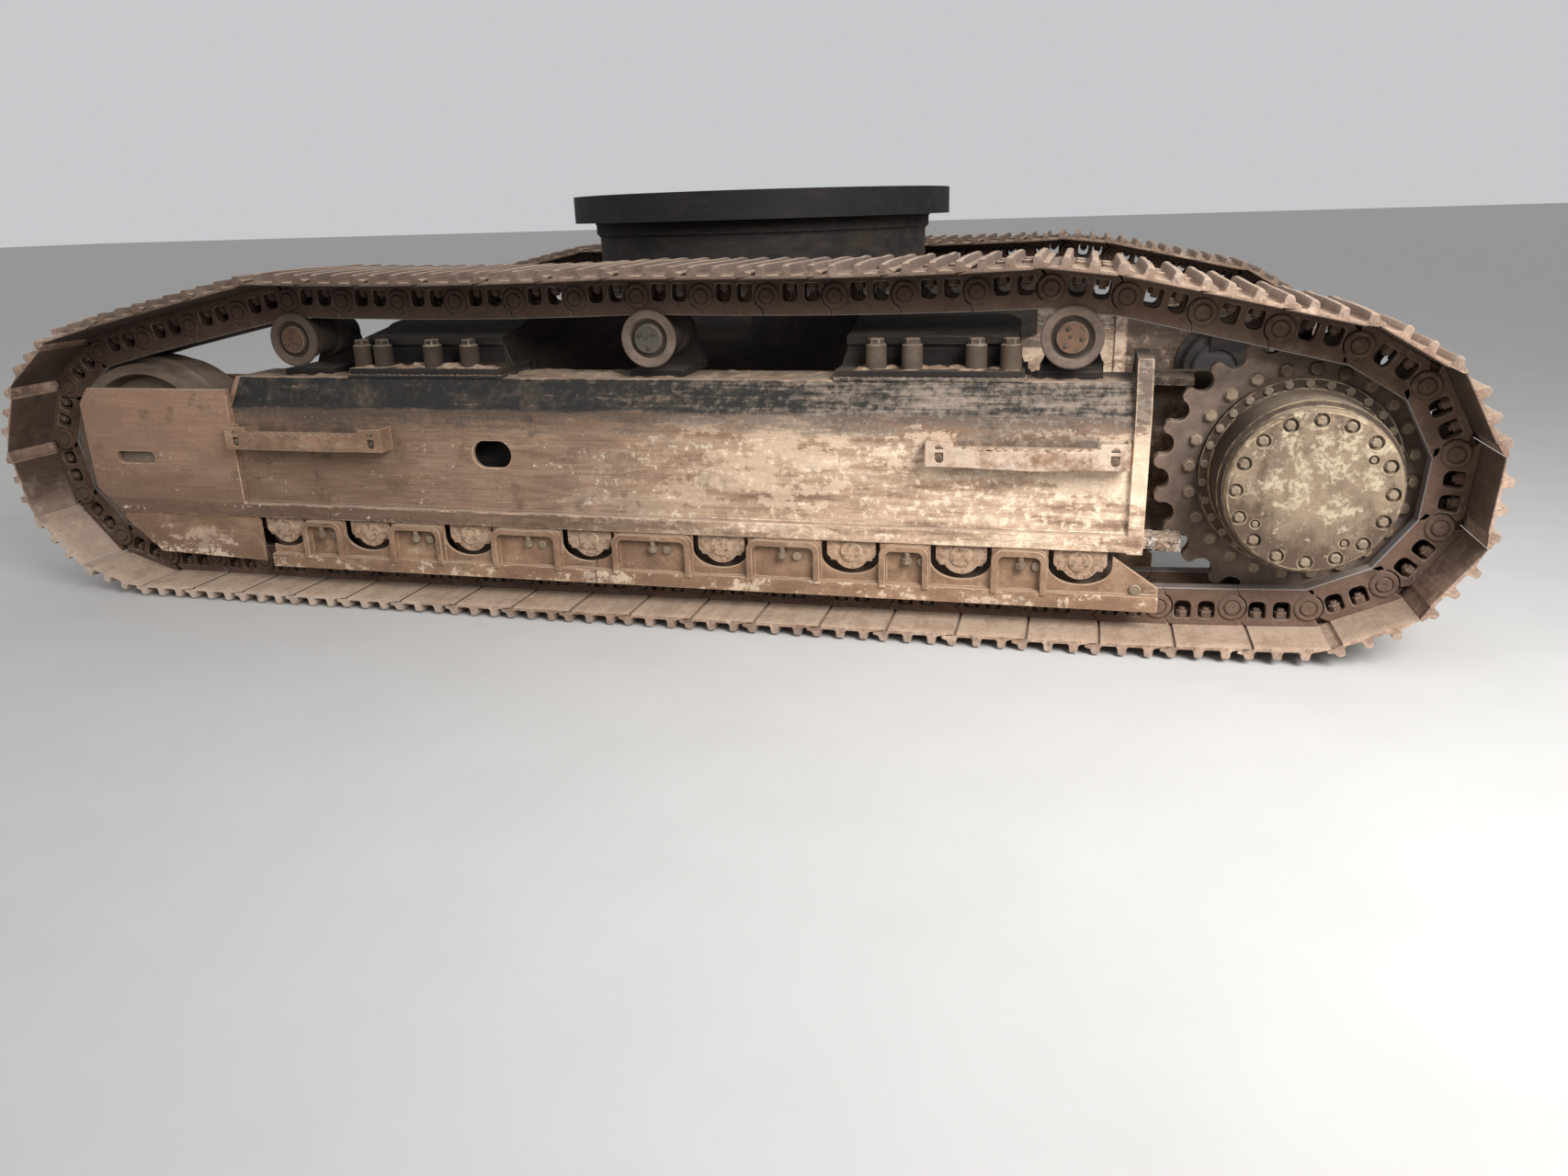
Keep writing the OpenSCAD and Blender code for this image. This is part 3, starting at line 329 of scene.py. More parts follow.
def guard_layers(f, tone):
    """Dried mud, darker on the frame's top; pale crusted collars, scuffed rear step, nose and foot bar."""
    drawn, blotch, fine = f.drawn, f.blotch, f.fine
    x, _, z = f.axes()
    rear = 1.0 - f.level(x, -1.4, 0.6)
    mud = f.level(blotch * 0.7 + fine * 0.45, 0.52, 0.66)
    tone = f.blend(mud * 0.42, tone, paint("#6e523f"))
    caked_top = f.level(z, ON_TOP_Z - 0.01, ON_TOP_Z) * (f.level(x, -1.0, 1.0) * 0.3 + 0.4)
    tone = f.blend(caked_top, tone, paint("#544a42"))
    step = f.level(z, 0.5, 0.55) * (1.0 - f.level(z, 0.75, 0.78))
    worn_step = step * rear * f.level(blotch * 0.7 + fine * 0.4, 0.4, 0.62)
    tone = f.blend(worn_step * 0.7, tone, paint("#d9c3b0"))
    inside = 1.0 - f.level(f.aside(), HALF_GAUGE + COLLAR_Y - 0.001, HALF_GAUGE + COLLAR_Y + 0.001)
    collar = inside * f.level(z, 0.176, 0.19)
    lumps = f.level(f.noise(60, 5, 0.7, shift=2.9) * 0.8 + blotch * 0.3, 0.46, 0.6)
    tone = f.blend(collar * (lumps * 0.45 - rear * 0.12 + 0.03), tone, paint("#cbb098"))
    foot = 1.0 - f.level(z, 0.163, 0.172)
    nose = f.level(x, BOX_FRONT + 0.03, BOX_FRONT + 0.05) * f.level(z, 0.3, 0.18)
    slant = f.noise(1.0, 7, 0.66, (6, 10, 44), 4.9) * 0.35
    scuff = f.level(drawn * 0.6 + fine * 0.45 + foot * 0.05 + nose * (slant - 0.1), 0.60, 0.64)
    return f.blend(scuff * (0.3 + foot * 0.5 + nose * 0.3), tone, paint("#cbb59e"))


def drive_layers(f, tone):
    """Oil and painted shade on the drum and hub, painted shade in the bolt seats, dark runs and pale
    yellowish patches on the cover.
    """
    blotch, fine = f.blotch, f.fine
    reach, above = f.round_axle()
    # Oil and painted shade darken the drum and hub inside the cover's edge
    inner = 1.0 - f.level(f.aside(), HALF_GAUGE + DRUM_Y, HALF_GAUGE + COVER_EDGE_Y)
    tone = f.blend(inner * (blotch * 0.5 + 0.65), tone, paint("#2a1f19"))
    cover = 1.0 - inner
    runs = f.noise(5, 6, 0.7, (1, 1, 0.5), 2.2)
    oil = f.level(runs * 0.8 + fine * 0.25 + reach * 1.6 - above * 0.5, 0.53, 0.68)
    tone = f.blend(oil * 0.85, tone, paint("#453529"))
    spots = f.noise(15, 9, 0.78, shift=4.4)
    patch = f.level(spots * 0.85 + fine * 0.3 - reach * 1.6 + above * 0.25, 0.55, 0.64)
    tone = f.blend(patch * cover * 0.52, tone, paint("#c8ba9e"))
    # Painted shade in the cover's sunk bolt seats
    sunk = 1.0 - f.level(f.aside(), HALF_GAUGE + COVER_Y - 0.0055, HALF_GAUGE + COVER_Y - 0.001)
    seat_shade = sunk * (1.0 - f.level(reach, 0.0510, 0.0520))
    return f.blend(seat_shade * cover * 0.85, tone, paint("#2a1f19"))


def upper_run_shadow(f):
    """1 on the chain's upper run ahead of the sprocket, where a shadow is painted, 0 elsewhere."""
    x, _, z = f.axes()
    return f.level(z, 0.6, 0.9) * f.level(x, -1.7, -0.9)


def shoe_layers(f, tone):
    """Each shoe a tone of its own, worn pale grouser tips, mud between them, painted shade on the plates'
    inner faces higher up and a painted shadow on the upper run.
    """
    fine = f.fine
    x, _, z = f.axes()
    spot = f.mark("spot", "Vector")
    out = f.axes(spot)[2]
    tone = f.blend(f.mark("shade") * 0.5, tone, paint("#6b5648"))
    lines = f.noise(1.0, 5, 0.6, (90, 6, 60), 2.6, spot)
    tone = f.blend(f.level(lines * 0.8 + fine * 0.3, 0.52, 0.7) * 0.6, tone, paint("#5e4a3d"))
    cake = f.noise(7, 8, 0.72, shift=5.9)
    tone = f.blend(f.level(cake * 0.9 + fine * 0.2, 0.56, 0.62) * 0.6, tone, paint("#73594a"))
    tone = f.blend(f.level(cake * 0.9 + fine * 0.25, 0.52, 0.46) * 0.5, tone, paint("#c9b19c"))
    # Painted shade: the plates' inner faces get darker higher up
    plate = 1.0 - f.level(out, PIN_H + 0.0015, PIN_H + 0.0065)
    tone = f.blend(plate * f.level(z + cake * 0.2, 0.2, 0.62) * 0.86, tone, paint("#3c2c23"))
    tone = f.blend(f.level(out, PLATE_TOP + 0.001, PLATE_TOP + 0.017) * 0.35, tone, paint("#8f8178"))
    tone = f.blend(f.level(out, TIP_TOP - 0.008, TIP_TOP - 0.001) * 0.6, tone, paint("#b3a598"))
    front = f.level(x, 0.2, 1.5) * (1.0 - f.level(z, 0.2, 0.4))
    tone = f.blend(front * 0.5, tone, paint("#d8c3b0"))
    # Painted shadow over the shoes of the upper run, short of the idler
    return f.blend(upper_run_shadow(f) * (1.0 - f.level(x, 1.9, 2.3)) * 0.62, tone, paint("#3d2e26"))


def link_layers(f, tone):
    """Rust-brown sides, polished running faces, mud round the bosses, a painted shadow on the upper run."""
    out = f.axes(f.mark("spot", "Vector"))[2]
    tone = f.blend(f.mark("shade") * 0.4, tone, paint("#5b4a3f"))
    tone = f.blend(f.level(f.blotch * 0.6 + f.fine * 0.5, 0.54, 0.66) * 0.5, tone, paint("#7c6858"))
    tone = f.blend((1.0 - f.level(out, -PIN_H + 0.001, -PIN_H + 0.004)) * 0.8, tone, paint("#9a999a"))
    # Painted shadow over the links of the upper run
    return f.blend(upper_run_shadow(f) * 0.6, tone, paint("#38261f"))


def cast_layers(f, tone):
    """Dark oil on the sprocket round its drum, pale mud on its teeth, painted shade on the carriers'
    barrels.
    """
    blotch, fine = f.blotch, f.fine
    x, _, z = f.axes()
    reach, above = f.round_axle()
    near = (1.0 - f.level(reach + fine * 0.03, 0.088, 0.125)) * (f.level(above, -0.32, -0.2) * 0.7 + 0.3)
    tone = f.blend(near * (blotch * 0.4 + 0.5), tone, paint("#2f241d"))
    tone = f.blend(f.level(x, 1.7, 1.8) * 0.22, tone, paint("#ab9684"))
    on_top = f.level(z, ON_TOP_Z, ON_TOP_Z + 0.02)
    # Painted shade on the carriers' barrels, inside their rims
    carrier = on_top * f.level(x, -1.35, -1.3) * (1.0 - f.level(x, 1.6, 1.65))
    rim = f.level(f.aside(), HALF_GAUGE + CARRIER_RIM - 0.0075, HALF_GAUGE + CARRIER_RIM + 0.0075)
    tone = f.blend(carrier * (1.0 - rim) * 0.8, tone, paint("#2a221d"))
    tone = f.blend(on_top * f.level(x, 0.9, 1.1) * 0.5, tone, paint("#43362c"))
    muddy = f.level(reach, 0.13, 0.16) * f.level(blotch + fine * 0.3, 0.5, 0.75)
    return f.blend((1.0 - f.level(x, -1.62, -1.58)) * muddy * 0.6, tone, paint("#8b7564"))


def bolt_layers(f, tone):
    """Dark sleeves on the feet; blue-green, reddish or dark coats where a part is marked with them, the
    dark mark also painting shade in the carrier covers' grooves.
    """
    x, _, z = f.axes()
    on_top = f.level(z, ON_TOP_Z, ON_TOP_Z + 0.02)
    sleeve = on_top * (f.blotch * 0.3 + 0.55 + f.level(x, -0.5, 0.5) * 0.2)
    tone = f.blend(sleeve, tone, paint("#2f241d"))
    cover = f.level(f.fine, 0.3, 0.5)
    tone = f.blend(f.mark("green") * cover, tone, paint("#4b4a42"))
    tone = f.blend(f.mark("red") * cover, tone, paint("#75543f"))
    return f.blend(f.mark("dark"), tone, paint("#2b211b"))


dusty("frame_tan", "#7d6250", "#a98a71", "#a39180", "#d3b296", layers=frame_layers)
dusty("frame_black", "#181515", "#30271f", "#5f5348", "#54453a", dusted=0.28, chipped=0.2)
dusty("guard_tan", "#7a5e4a", "#9d7e64", "#a48f7a", "#c8ae92", streak=(6, 10, 12), layers=guard_layers)
dusty("drive_tan", "#6d5b4b", "#897661", "#958571", "#c2ac88", dusted=0.4, chipped=0.4,
      streak=(5, 8, 6), layers=drive_layers)
dusty("shoe_steel", "#967c68", "#b39884", "#b59d88", "#c6b4a2", dusted=0.45, streak=(18, 3, 18),
      layers=shoe_layers)
dusty("link_steel", "#4d392e", "#6b5243", "#7f6b5c", "#9a8b7e", dusted=0.3, streak=(8, 8, 8),
      layers=link_layers)
dusty("cast_brown", "#574940", "#78665a", "#8a7867", "#a3927f", dusted=0.4, streak=(8, 8, 8),
      layers=cast_layers)
dusty("cast_dark", "#2c2a29", "#433e39", "#71665a", "#6f675d", dusted=0.4, chipped=0.1, rough=0.64)
# Near-black tones of the bearing steel are painted shade, as under the machine's upper part, which isn't
# built
dusty("bearing_steel", "#0b0a0a", "#151211", "#26211e", "#4a433d", dusted=0.1, chipped=0.1, rough=0.66)
dusty("bolt_steel", "#6b5a4b", "#8a7864", "#a28e79", "#b9a996", dusted=0.45, chipped=0.25,
      layers=bolt_layers)


# Modelling helpers

def shaded(bm, sharp=32):
    """Smooth faces with sharp edges where the surface turns."""
    for face in bm.faces:
        face.smooth = True
    for edge in bm.edges:
        if len(edge.link_faces) != 2 or edge.calc_face_angle(0) > math.radians(sharp):
            edge.smooth = False


def mesh_of(bm, name):
    mesh = bpy.data.meshes.new(name)
    bm.to_mesh(mesh)
    bm.free()
    return mesh


def piece(name, bm, slot, body=BASE, replaces=(), flat=False):
    """Ends a bmesh as a piece that rides on a body and has its slot's finish."""
    shaded(bm)
    made = bpy.data.objects.new(name, mesh_of(bm, name))
    bpy.context.scene.collection.objects.link(made)
    made.data.materials.append(FINISHES[slot])
    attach(made, body)
    if replaces:
        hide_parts(*replaces)
    if flat:
        made.modifiers.new("flat_faces", "WEIGHTED_NORMAL").keep_sharp = True
    return made


def tidy(bm):
    bmesh.ops.remove_doubles(bm, verts=bm.verts, dist=1e-5)
    bmesh.ops.dissolve_degenerate(bm, dist=1e-6, edges=bm.edges)
    bmesh.ops.recalc_face_normals(bm, faces=bm.faces)


def rounded(bm, width, edges=None, segments=2, turn=28):
    """Rounds the sharp edges, or those given, and marks the new faces as worn."""
    worn = bm.faces.layers.float.get("worn") or bm.faces.layers.float.new("worn")
    if edges is None:
        edges = [e for e in bm.edges
                 if len(e.link_faces) == 2 and e.calc_face_angle(0) > math.radians(turn)]
    made = bmesh.ops.bevel(bm, geom=edges, offset=width, offset_type="OFFSET", affect="EDGES",
                           segments=segments, profile=0.5, material=-1, clamp_overlap=False)
    for face in made["faces"]:
        face[worn] = 1.0
    return made


# Cuts that a step bends at, the share of its length that bends, and depths of the bend and of worn teeth
STEP_CUTS = 12
BENT = (0.13, 0.87)
BEND_DEEP = 0.012
WORN_DEEP = 0.013


def battered(bm, node):
    """Bends the middle of each step a little and wears its teeth down unevenly, the rear step more."""
    for low, high in spans(node, gap=0.2):
        for i in range(STEP_CUTS):
            cut = low + (high - low) * (i + 2.31) / 16
            bmesh.ops.bisect_plane(bm, geom=bm.verts[:] + bm.edges[:] + bm.faces[:], dist=2e-4,
                                   plane_co=(cut, 0, 0), plane_no=(1, 0, 0))
        depth = 1.0 if low < 0 else 0.35
        for vert in bm.verts:
            x, y, z = vert.co
            share = (x - low) / (high - low)
            if BENT[0] < share < BENT[1]:
                sag = math.sin(math.pi * (share - BENT[0]) / (BENT[1] - BENT[0])) ** 2
                outward = min(1.0, max(0.0, (abs(y) - HALF_GAUGE - HALF_W) / 0.05))
                bend = 0.6 + 0.8 * noise.noise(Vector((x * 5, 0, 0.4)))
                tooth = max(0.0, (z - TEETH_Z) / 0.012) * abs(noise.noise(Vector((x * 31, 2.2, 0))))
                vert.co.z -= depth * outward * (BEND_DEEP * sag * bend + WORN_DEEP * tooth)
    bmesh.ops.triangulate(bm, faces=[f for f in bm.faces if len(f.verts) > 4])


def softened(node, width, slot):
    """A copy of a CAD node with rounded edges, which stands for it."""
    bm = bmesh.new()
    bm.from_mesh(frame["nodes"][node].data)
    bmesh.ops.remove_doubles(bm, verts=bm.verts, dist=2e-5)
    is_step = node.startswith("steps")
    if is_step:
        battered(bm, node)
    rounded(bm, width)
    if is_step:
        bmesh.ops.dissolve_degenerate(bm, dist=2e-5, edges=bm.edges)
    if slot == "frame_tan":
        worn = bm.faces.layers.float["worn"]
        for face in bm.faces:
            if abs(face.calc_center_median().z - SHOULDER_Z) < 0.006:
                face[worn] = 0.0
    piece(f"{node}_body", bm, slot, replaces=(node,), flat=True)


def arc(x, z, radius, first, last, steps):
    """Points on an arc in X and Z, its turns in degrees from +X."""
    turns = [math.radians(first + (last - first) * i / steps) for i in range(steps + 1)]
    return [(x + radius * math.cos(t), z + radius * math.sin(t)) for t in turns]


def slab(bm, outline, holes, low, high):
    """A plate in X and Z with holes, from low to high along Y."""
    edges = []
    for loop in (outline, *holes):
        ring = [bm.verts.new((x, low, z)) for x, z in loop]
        edges += [bm.edges.new((ring[i - 1], ring[i])) for i in range(len(ring))]
    filled = bmesh.ops.triangle_fill(bm, use_beauty=True, use_dissolve=False, edges=edges)["geom"]
    faces = [g for g in filled if isinstance(g, bmesh.types.BMFace)]
    moved = bmesh.ops.extrude_face_region(bm, geom=faces)["geom"]
    verts = [g for g in moved if isinstance(g, bmesh.types.BMVert)]
    bmesh.ops.translate(bm, verts=verts, vec=(0, high - low, 0))
    return faces, verts


def turned(bm, profile, x=0.0, z=0.0, steps=48, closed=False):
    """Spins a profile of radius and Y round an axle along Y."""
    ring = [bm.verts.new((x + r, y, z)) for r, y in profile]
    pairs = list(zip(ring, ring[1:])) + ([(ring[-1], ring[0])] if closed else [])
    edges = [bm.edges.new(pair) for pair in pairs]
    bmesh.ops.spin(bm, geom=ring + edges, cent=(x, 0, z), axis=(0, 1, 0), angle=2 * math.pi,
                   steps=steps, use_merge=True)


def upright(point, direction=(0, 0, 1), turn=0.0):
    """Sets a part that stands along Z at a point, along a direction, turned in degrees."""
    look = Vector(direction).to_track_quat("Z", "Y").to_matrix().to_4x4()
    return Matrix.Translation(point) @ look @ Matrix.Rotation(math.radians(turn), 4, "Z")


def stamped(bm, mesh, places, **marks):
    """Adds a copy of a mesh at each place, its faces marked with a value or with one drawn from a range."""
    for place in places:
        first, first_face = len(bm.verts), len(bm.faces)
        bm.from_mesh(mesh)
        bm.verts.ensure_lookup_table()
        bmesh.ops.transform(bm, matrix=place, verts=bm.verts[first:])
        for name, value in marks.items():
            layer = bm.faces.layers.float.get(name) or bm.faces.layers.float.new(name)
            drawn = DICE.uniform(*value) if isinstance(value, tuple) else value
            bm.faces.ensure_lookup_table()
            for face in bm.faces[first_face:]:
                face[layer] = drawn


def spotted(bm):
    """Keeps each point's own place, before it is stamped, for the finishes."""
    layer = bm.verts.layers.float_vector.new("spot")
    for vert in bm.verts:
        vert[layer] = vert.co


def to_side(bm, sign):
    """Moves a shape drawn round a track's middle, outwards being +Y, to one side of the machine."""
    aside = Matrix.Translation((0, sign * HALF_GAUGE, 0)) @ Matrix.Diagonal((1, sign, 1, 1))
    bmesh.ops.transform(bm, matrix=aside, verts=bm.verts)
    if sign < 0:
        bmesh.ops.reverse_faces(bm, faces=bm.faces)


# Fasteners, each standing along Z on z = 0, and the ways that they are turned

OUT = (0, 1, 0)
DOWN = (0, 0, -1)


def post(bm, sides, radius, height):
    """A prism that stands on z = 0."""
    made = bmesh.ops.create_cone(bm, cap_ends=True, segments=sides, radius1=radius, radius2=radius,
                                 depth=height, matrix=Matrix.Translation((0, 0, height / 2)))
    return made["verts"]


def chamfered(bm, verts, height, width):
    """Cuts the rim off the top of a post."""
    top = {v for v in verts if v.co.z > height * 0.9}
    rounded(bm, width, [e for e in bm.edges if all(v in top for v in e.verts)], 1)


def hex_bolt(radius, height, washer=1.25):
    """A hexagon head with a chamfered top, on a washer where that isn't 0."""
    bm = bmesh.new()
    if washer:
        post(bm, 20, radius * washer, height * 0.22)
    chamfered(bm, post(bm, 6, radius, height), height, radius * 0.16)
    return mesh_of(bm, "hex_bolt")


def round_head(radius, height, sides=16):
    """A low round head with a chamfered rim."""
    bm = bmesh.new()
    chamfered(bm, post(bm, sides, radius, height), height, min(radius * 0.15, height * 0.4))
    return mesh_of(bm, "round_head")


# Track chain

def chain_pins():
    """The chain's pins as X and Z, from the corners of the CAD rails, in order round the loop."""
    corners = sorted({(round(v.co.x, 4), round(v.co.z, 4))
                      for v in frame["nodes"]["track_links_left"].data.vertices})
    spots = [Vector(c) for c in corners]
    found = []
    for spot in spots:
        partner = min((s for s in spots if s != spot), key=lambda s: (s - spot).length)
        pin = (spot + partner) / 2
        if all((pin - p).length > PITCH / 4 for p in found):
            found.append(pin)
    low = [p for p in found if p.y < SPROCKET.z]
    start = max((p for p in low if p.x < 0), key=lambda p: p.x)
    order = [start, min((p for p in low if p.x > 0), key=lambda p: p.x)]
    rest = [p for p in found if p not in order]
    while rest:
        near = min(rest, key=lambda p: (p - order[-1]).length)
        rest.remove(near)
        order.append(near)
    pins = []
    for here, after in zip(order, order[1:] + order[:1]):
        parts = max(1, round((after - here).length / PITCH))
        pins += [here + (after - here) * i / parts for i in range(parts)]
    return pins


PINS = chain_pins()


def link_places():
    """A matrix for each link: X along it, Z outwards from the pin line."""
    places = []
    for here, after in zip(PINS, PINS[1:] + PINS[:1]):
        along = (after - here).normalized()
        spot = (here + after) / 2
        turn = Matrix(((along.x, 0, along.y), (0, -1, 0), (along.y, 0, -along.x))).to_4x4()
        places.append(Matrix.Translation((spot.x, 0, spot.y)) @ turn)
    return places


LINKS = link_places()

# Stations along half a shoe, closer where its ends wear round, and both halves' stations
HALF_STATIONS = (0.0, 0.15, 0.262, 0.2955, SHOE_HALF)
STATIONS = [-y for y in HALF_STATIONS[:0:-1]] + list(HALF_STATIONS)

# Heights over the pin line that a grouser wears from and that a shoe's end is cut from, and the cut
WEAR_Z = 0.09
CUT_Z = 0.066
END_CUT = 0.0022


def grouser(a):
    """Section of a grouser, worn round at its tip, from its far root to its near one."""
    half = [(0.0185, PLATE_TOP), (0.0135, 0.0785), (0.0115, 0.097), (0.0085, 0.103)]
    return [(a + x, z) for x, z in half] + [(a, TIP_TOP)] + [(a - x, z) for x, z in reversed(half)]


def shoe_section():
    """Outline of a shoe along the link: a thin lip at the rear, three grousers and a raised front edge."""
    front = [(0.0625, PIN_H), (0.066, 0.0675), (0.1045, 0.0705), (0.1095, 0.0745), (0.1085, 0.0795)]
    third = [(0.0925, 0.0845)] + grouser(GROUSER_GAP)[2:]
    lip = [(-0.108, 0.0705), (-0.126, 0.0665), (-0.1445, 0.0602), (-0.1435, 0.0575), (-0.12, 0.0588)]
    return front + third + grouser(0.0) + grouser(-GROUSER_GAP) + lip


def shoe_mesh(seed):
    """A shoe with uneven wear along its grousers and four bolt heads in the two valleys."""
    dice = random.Random(seed)
    section = shoe_section()
    bm = bmesh.new()
    rows = []
    for y in STATIONS:
        end = max(0.0, abs(y) - SHOE_HALF + 0.05) / 0.05
        dent = dice.uniform(0.0, 0.004)
        cut = END_CUT if abs(y) == SHOE_HALF else 0.0
        row = []
        for a, z in section:
            tip = max(0.0, (z - WEAR_Z) / (TIP_TOP - WEAR_Z))
            drop = tip * (dent + 0.003 * end + dice.uniform(0, 0.0012))
            height = z - drop - (cut if z > CUT_Z else -cut)
            row.append(bm.verts.new((a, y, max(height, PIN_H - 0.003))))
        rows.append(row)
    for first, second in zip(rows, rows[1:]):
        for i in range(len(section)):
            bm.faces.new((first[i - 1], first[i], second[i], second[i - 1]))
    bm.faces.new(rows[0])
    bm.faces.new(rows[-1])
    head = round_head(0.0165, 0.011, 8)
    spots = [(s * GROUSER_GAP / 2, t * RAIL_MID, PLATE_TOP - 0.001) for s in (-1, 1) for t in (-1, 1)]
    stamped(bm, head, [upright(p) for p in spots])
    tidy(bm)
    spotted(bm)
    return mesh_of(bm, "shoe")


# Radii of boss, pin and bushing
BOSS_R = 0.041
PIN_R = 0.022
BUSHING_R = 0.034

# Windows of a link: distance from its middle, half the width, lower and upper edge
WINDOW_X = 0.035
WINDOW_HALF = 0.025
WINDOW_Z = (-0.018, 0.038)

# Profile of a boss round its pin's end: radius, and distance from the track's middle
BOSS_PROFILE = [
    (0, 0.118), (0.004, 0.118), (0.0055, 0.1198), (PIN_R - 0.003, 0.1198), (PIN_R, 0.1172), (PIN_R, 0.1125),
    (PIN_R + 0.003, 0.1125), (PIN_R + 0.0045, 0.1168), (BOSS_R - 0.005, 0.1168), (BOSS_R - 0.001, 0.1135),
    (BOSS_R, 0.109), (0, 0.109),
]


def window(x):
    """A window with wide round corners towards the rail and tight ones towards the shoe."""
    low, high = WINDOW_Z
    rear, front = x - WINDOW_HALF, x + WINDOW_HALF
    wide, tight = 0.017, 0.006
    lower_rear = arc(rear + wide, low + wide, wide, 180, 270, 3)
    lower_front = arc(front - wide, low + wide, wide, 270, 360, 3)
    upper_front = arc(front - tight, high - tight, tight, 0, 90, 1)
    upper_rear = arc(rear + tight, high - tight, tight, 90, 180, 1)
    return lower_rear + lower_front + upper_front + upper_rear


def link_outline(way):
    """A half link: a round boss over one pin, a hollow round the neighbour's boss at the other."""
    boss = arc(-PITCH / 2, 0, BOSS_R, 118, 242, 6)
    hollow = arc(PITCH / 2, 0, BOSS_R + 0.0035, 242, 118, 6)
    points = [(-PITCH / 2 - 0.036, PIN_H - 0.001)] + boss + [(-PITCH / 2 - 0.012, -PIN_H)]
    points += [(PITCH / 2 - 0.014, -PIN_H)] + hollow + [(PITCH / 2 - 0.038, PIN_H - 0.001)]
    return [(way * x, z) for x, z in points]


def link_mesh():
    """A pair of links with windows, bosses, pin, bushing and the nuts of the shoe bolts."""
    bm = bmesh.new()
    worn = bm.faces.layers.float.new("worn")
    holes = [window(-WINDOW_X), window(WINDOW_X)]
    for side in (-1, 1):
        for way, low, high in ((1, RAIL_MID, RAIL_OUT), (-1, RAIL_IN, RAIL_MID - 0.0004)):
            part = bmesh.new()
            slab(part, link_outline(way), holes, low, high)
            tidy(part)
            face_y = high if way > 0 else low
            rim = [e for e in part.edges if all(abs(v.co.y - face_y) < 1e-5 for v in e.verts)
                   and e.calc_face_angle(0) > 1]
            rounded(part, 0.0022, rim, 1)
            bmesh.ops.scale(part, vec=(1, side, 1), verts=part.verts)
            if side < 0:
                bmesh.ops.reverse_faces(part, faces=part.faces)
            stamped(bm, mesh_of(part, "half_link"), [Matrix.Identity(4)])
        boss = bmesh.new()
        turned(boss, BOSS_PROFILE, -PITCH / 2, 0, 24)
        tidy(boss)
        bmesh.ops.scale(boss, vec=(1, side, 1), verts=boss.verts)
        bmesh.ops.recalc_face_normals(boss, faces=boss.faces)
        stamped(bm, mesh_of(boss, "boss"), [Matrix.Identity(4)])
    tube = bmesh.new()
    reach = RAIL_IN + 0.002
    turned(tube, [(0, -reach), (BUSHING_R, -reach), (BUSHING_R, reach), (0, reach)], -PITCH / 2, 0, 16)
    tidy(tube)
    stamped(bm, mesh_of(tube, "bushing"), [Matrix.Identity(4)])
    nut = hex_bolt(0.0185, 0.022, 0)
    tail = round_head(0.0105, 0.03, 8)
    spots = [(s * WINDOW_X, t * RAIL_MID, WINDOW_Z[1] + 0.002) for s in (-1, 1) for t in (-1, 1)]
    stamped(bm, nut, [upright(p, DOWN, DICE.uniform(0, 60)) for p in spots])
    stamped(bm, tail, [upright(p, DOWN) for p in spots])
    for face in bm.faces:
        if all(v.co.z < -PIN_H + 0.004 for v in face.verts):
            face[worn] = 1.0
    spotted(bm)
    return mesh_of(bm, "link")


def chain():
    """Shoes and links of both tracks, in place of the CAD loops and rails."""
    shoes = [shoe_mesh(seed) for seed in range(5)]
    link = link_mesh()
    for side, sign in SIDES:
        bm = bmesh.new()
        for place in LINKS:
            stamped(bm, DICE.choice(shoes), [place], shade=(0, 1))
        to_side(bm, sign)
        piece(f"track_shoes_{side}", bm, "shoe_steel", replaces=(f"track_{side}",))
        bm = bmesh.new()
        stamped(bm, link, LINKS, shade=(0, 1))
        to_side(bm, sign)
        piece(f"chain_links_{side}", bm, "link_steel", replaces=(f"track_links_{side}",))


chain()


# Pieces that keep their CAD shape, with edges rounded by a radius in metres where these show

SOFT = {
    "side_frame": (0.004, "frame_tan"),
    "outer_guard": (0.003, "guard_tan"),
    "inner_guard": (0.003, "guard_tan"),
    "idler_yoke": (0.003, "cast_brown"),
    "roller_collars": (0.003, "guard_tan"),
    "steps": (0.002, "guard_tan"),
    "sprocket": (0.004, "cast_brown"),
    "legs": (0.004, "frame_black"),
    "joint_bolts": (0.003, "bolt_steel"),
    "carrier_brackets": (0.003, "frame_black"),
    "motor_guard": (0.002, "frame_black"),
    "final_drive": (0.003, "drive_tan"),
}
for stem, (width, slot_name) in SOFT.items():
    for side, sign in SIDES:
        softened(f"{stem}_{side}", width, slot_name)
softened("carbody", 0.005, "frame_black")
softened("ring_pedestal", 0.003, "frame_black")
softened("belly_plate", 0.002, "frame_black")
for name, node in frame["nodes"].items():
    slot_name = next(p["material_slot"] for p in frame["record"]["subparts"] if p["node"] == name)
    node.data.materials.clear()
    node.data.materials.append(FINISHES[slot_name])


# Bolts and plugs

# Circles round an axle: radius, count and the first one's turn in degrees
COVER_BOLTS = (0.203, 16)
COVER_PLUGS = (0.172, 4, 146.25)
HUB_BOLTS = (0.2705, 30, 6)
SPROCKET_BOLTS = (0.3125, 24, 3)
CAP_PLUGS = (0.024, 3, 90)
SCREWS_R = 0.029

# A pocket's hanging bolt: play along X, distance outwards, and drops of shank and head from the guard's top
POCKET_PLAY = 0.012
HANGING_Y = 0.208
SHANK_DROP = 0.022
HEAD_DROP = 0.044

# The round head beside it, and the one on the guard's rear slope behind the rear roller
ROUND_ASIDE = 0.047
ROUND_DROP = 0.056
SLOPE_HEAD_BACK = 0.165
SLOPE_HEAD_Z = 0.185

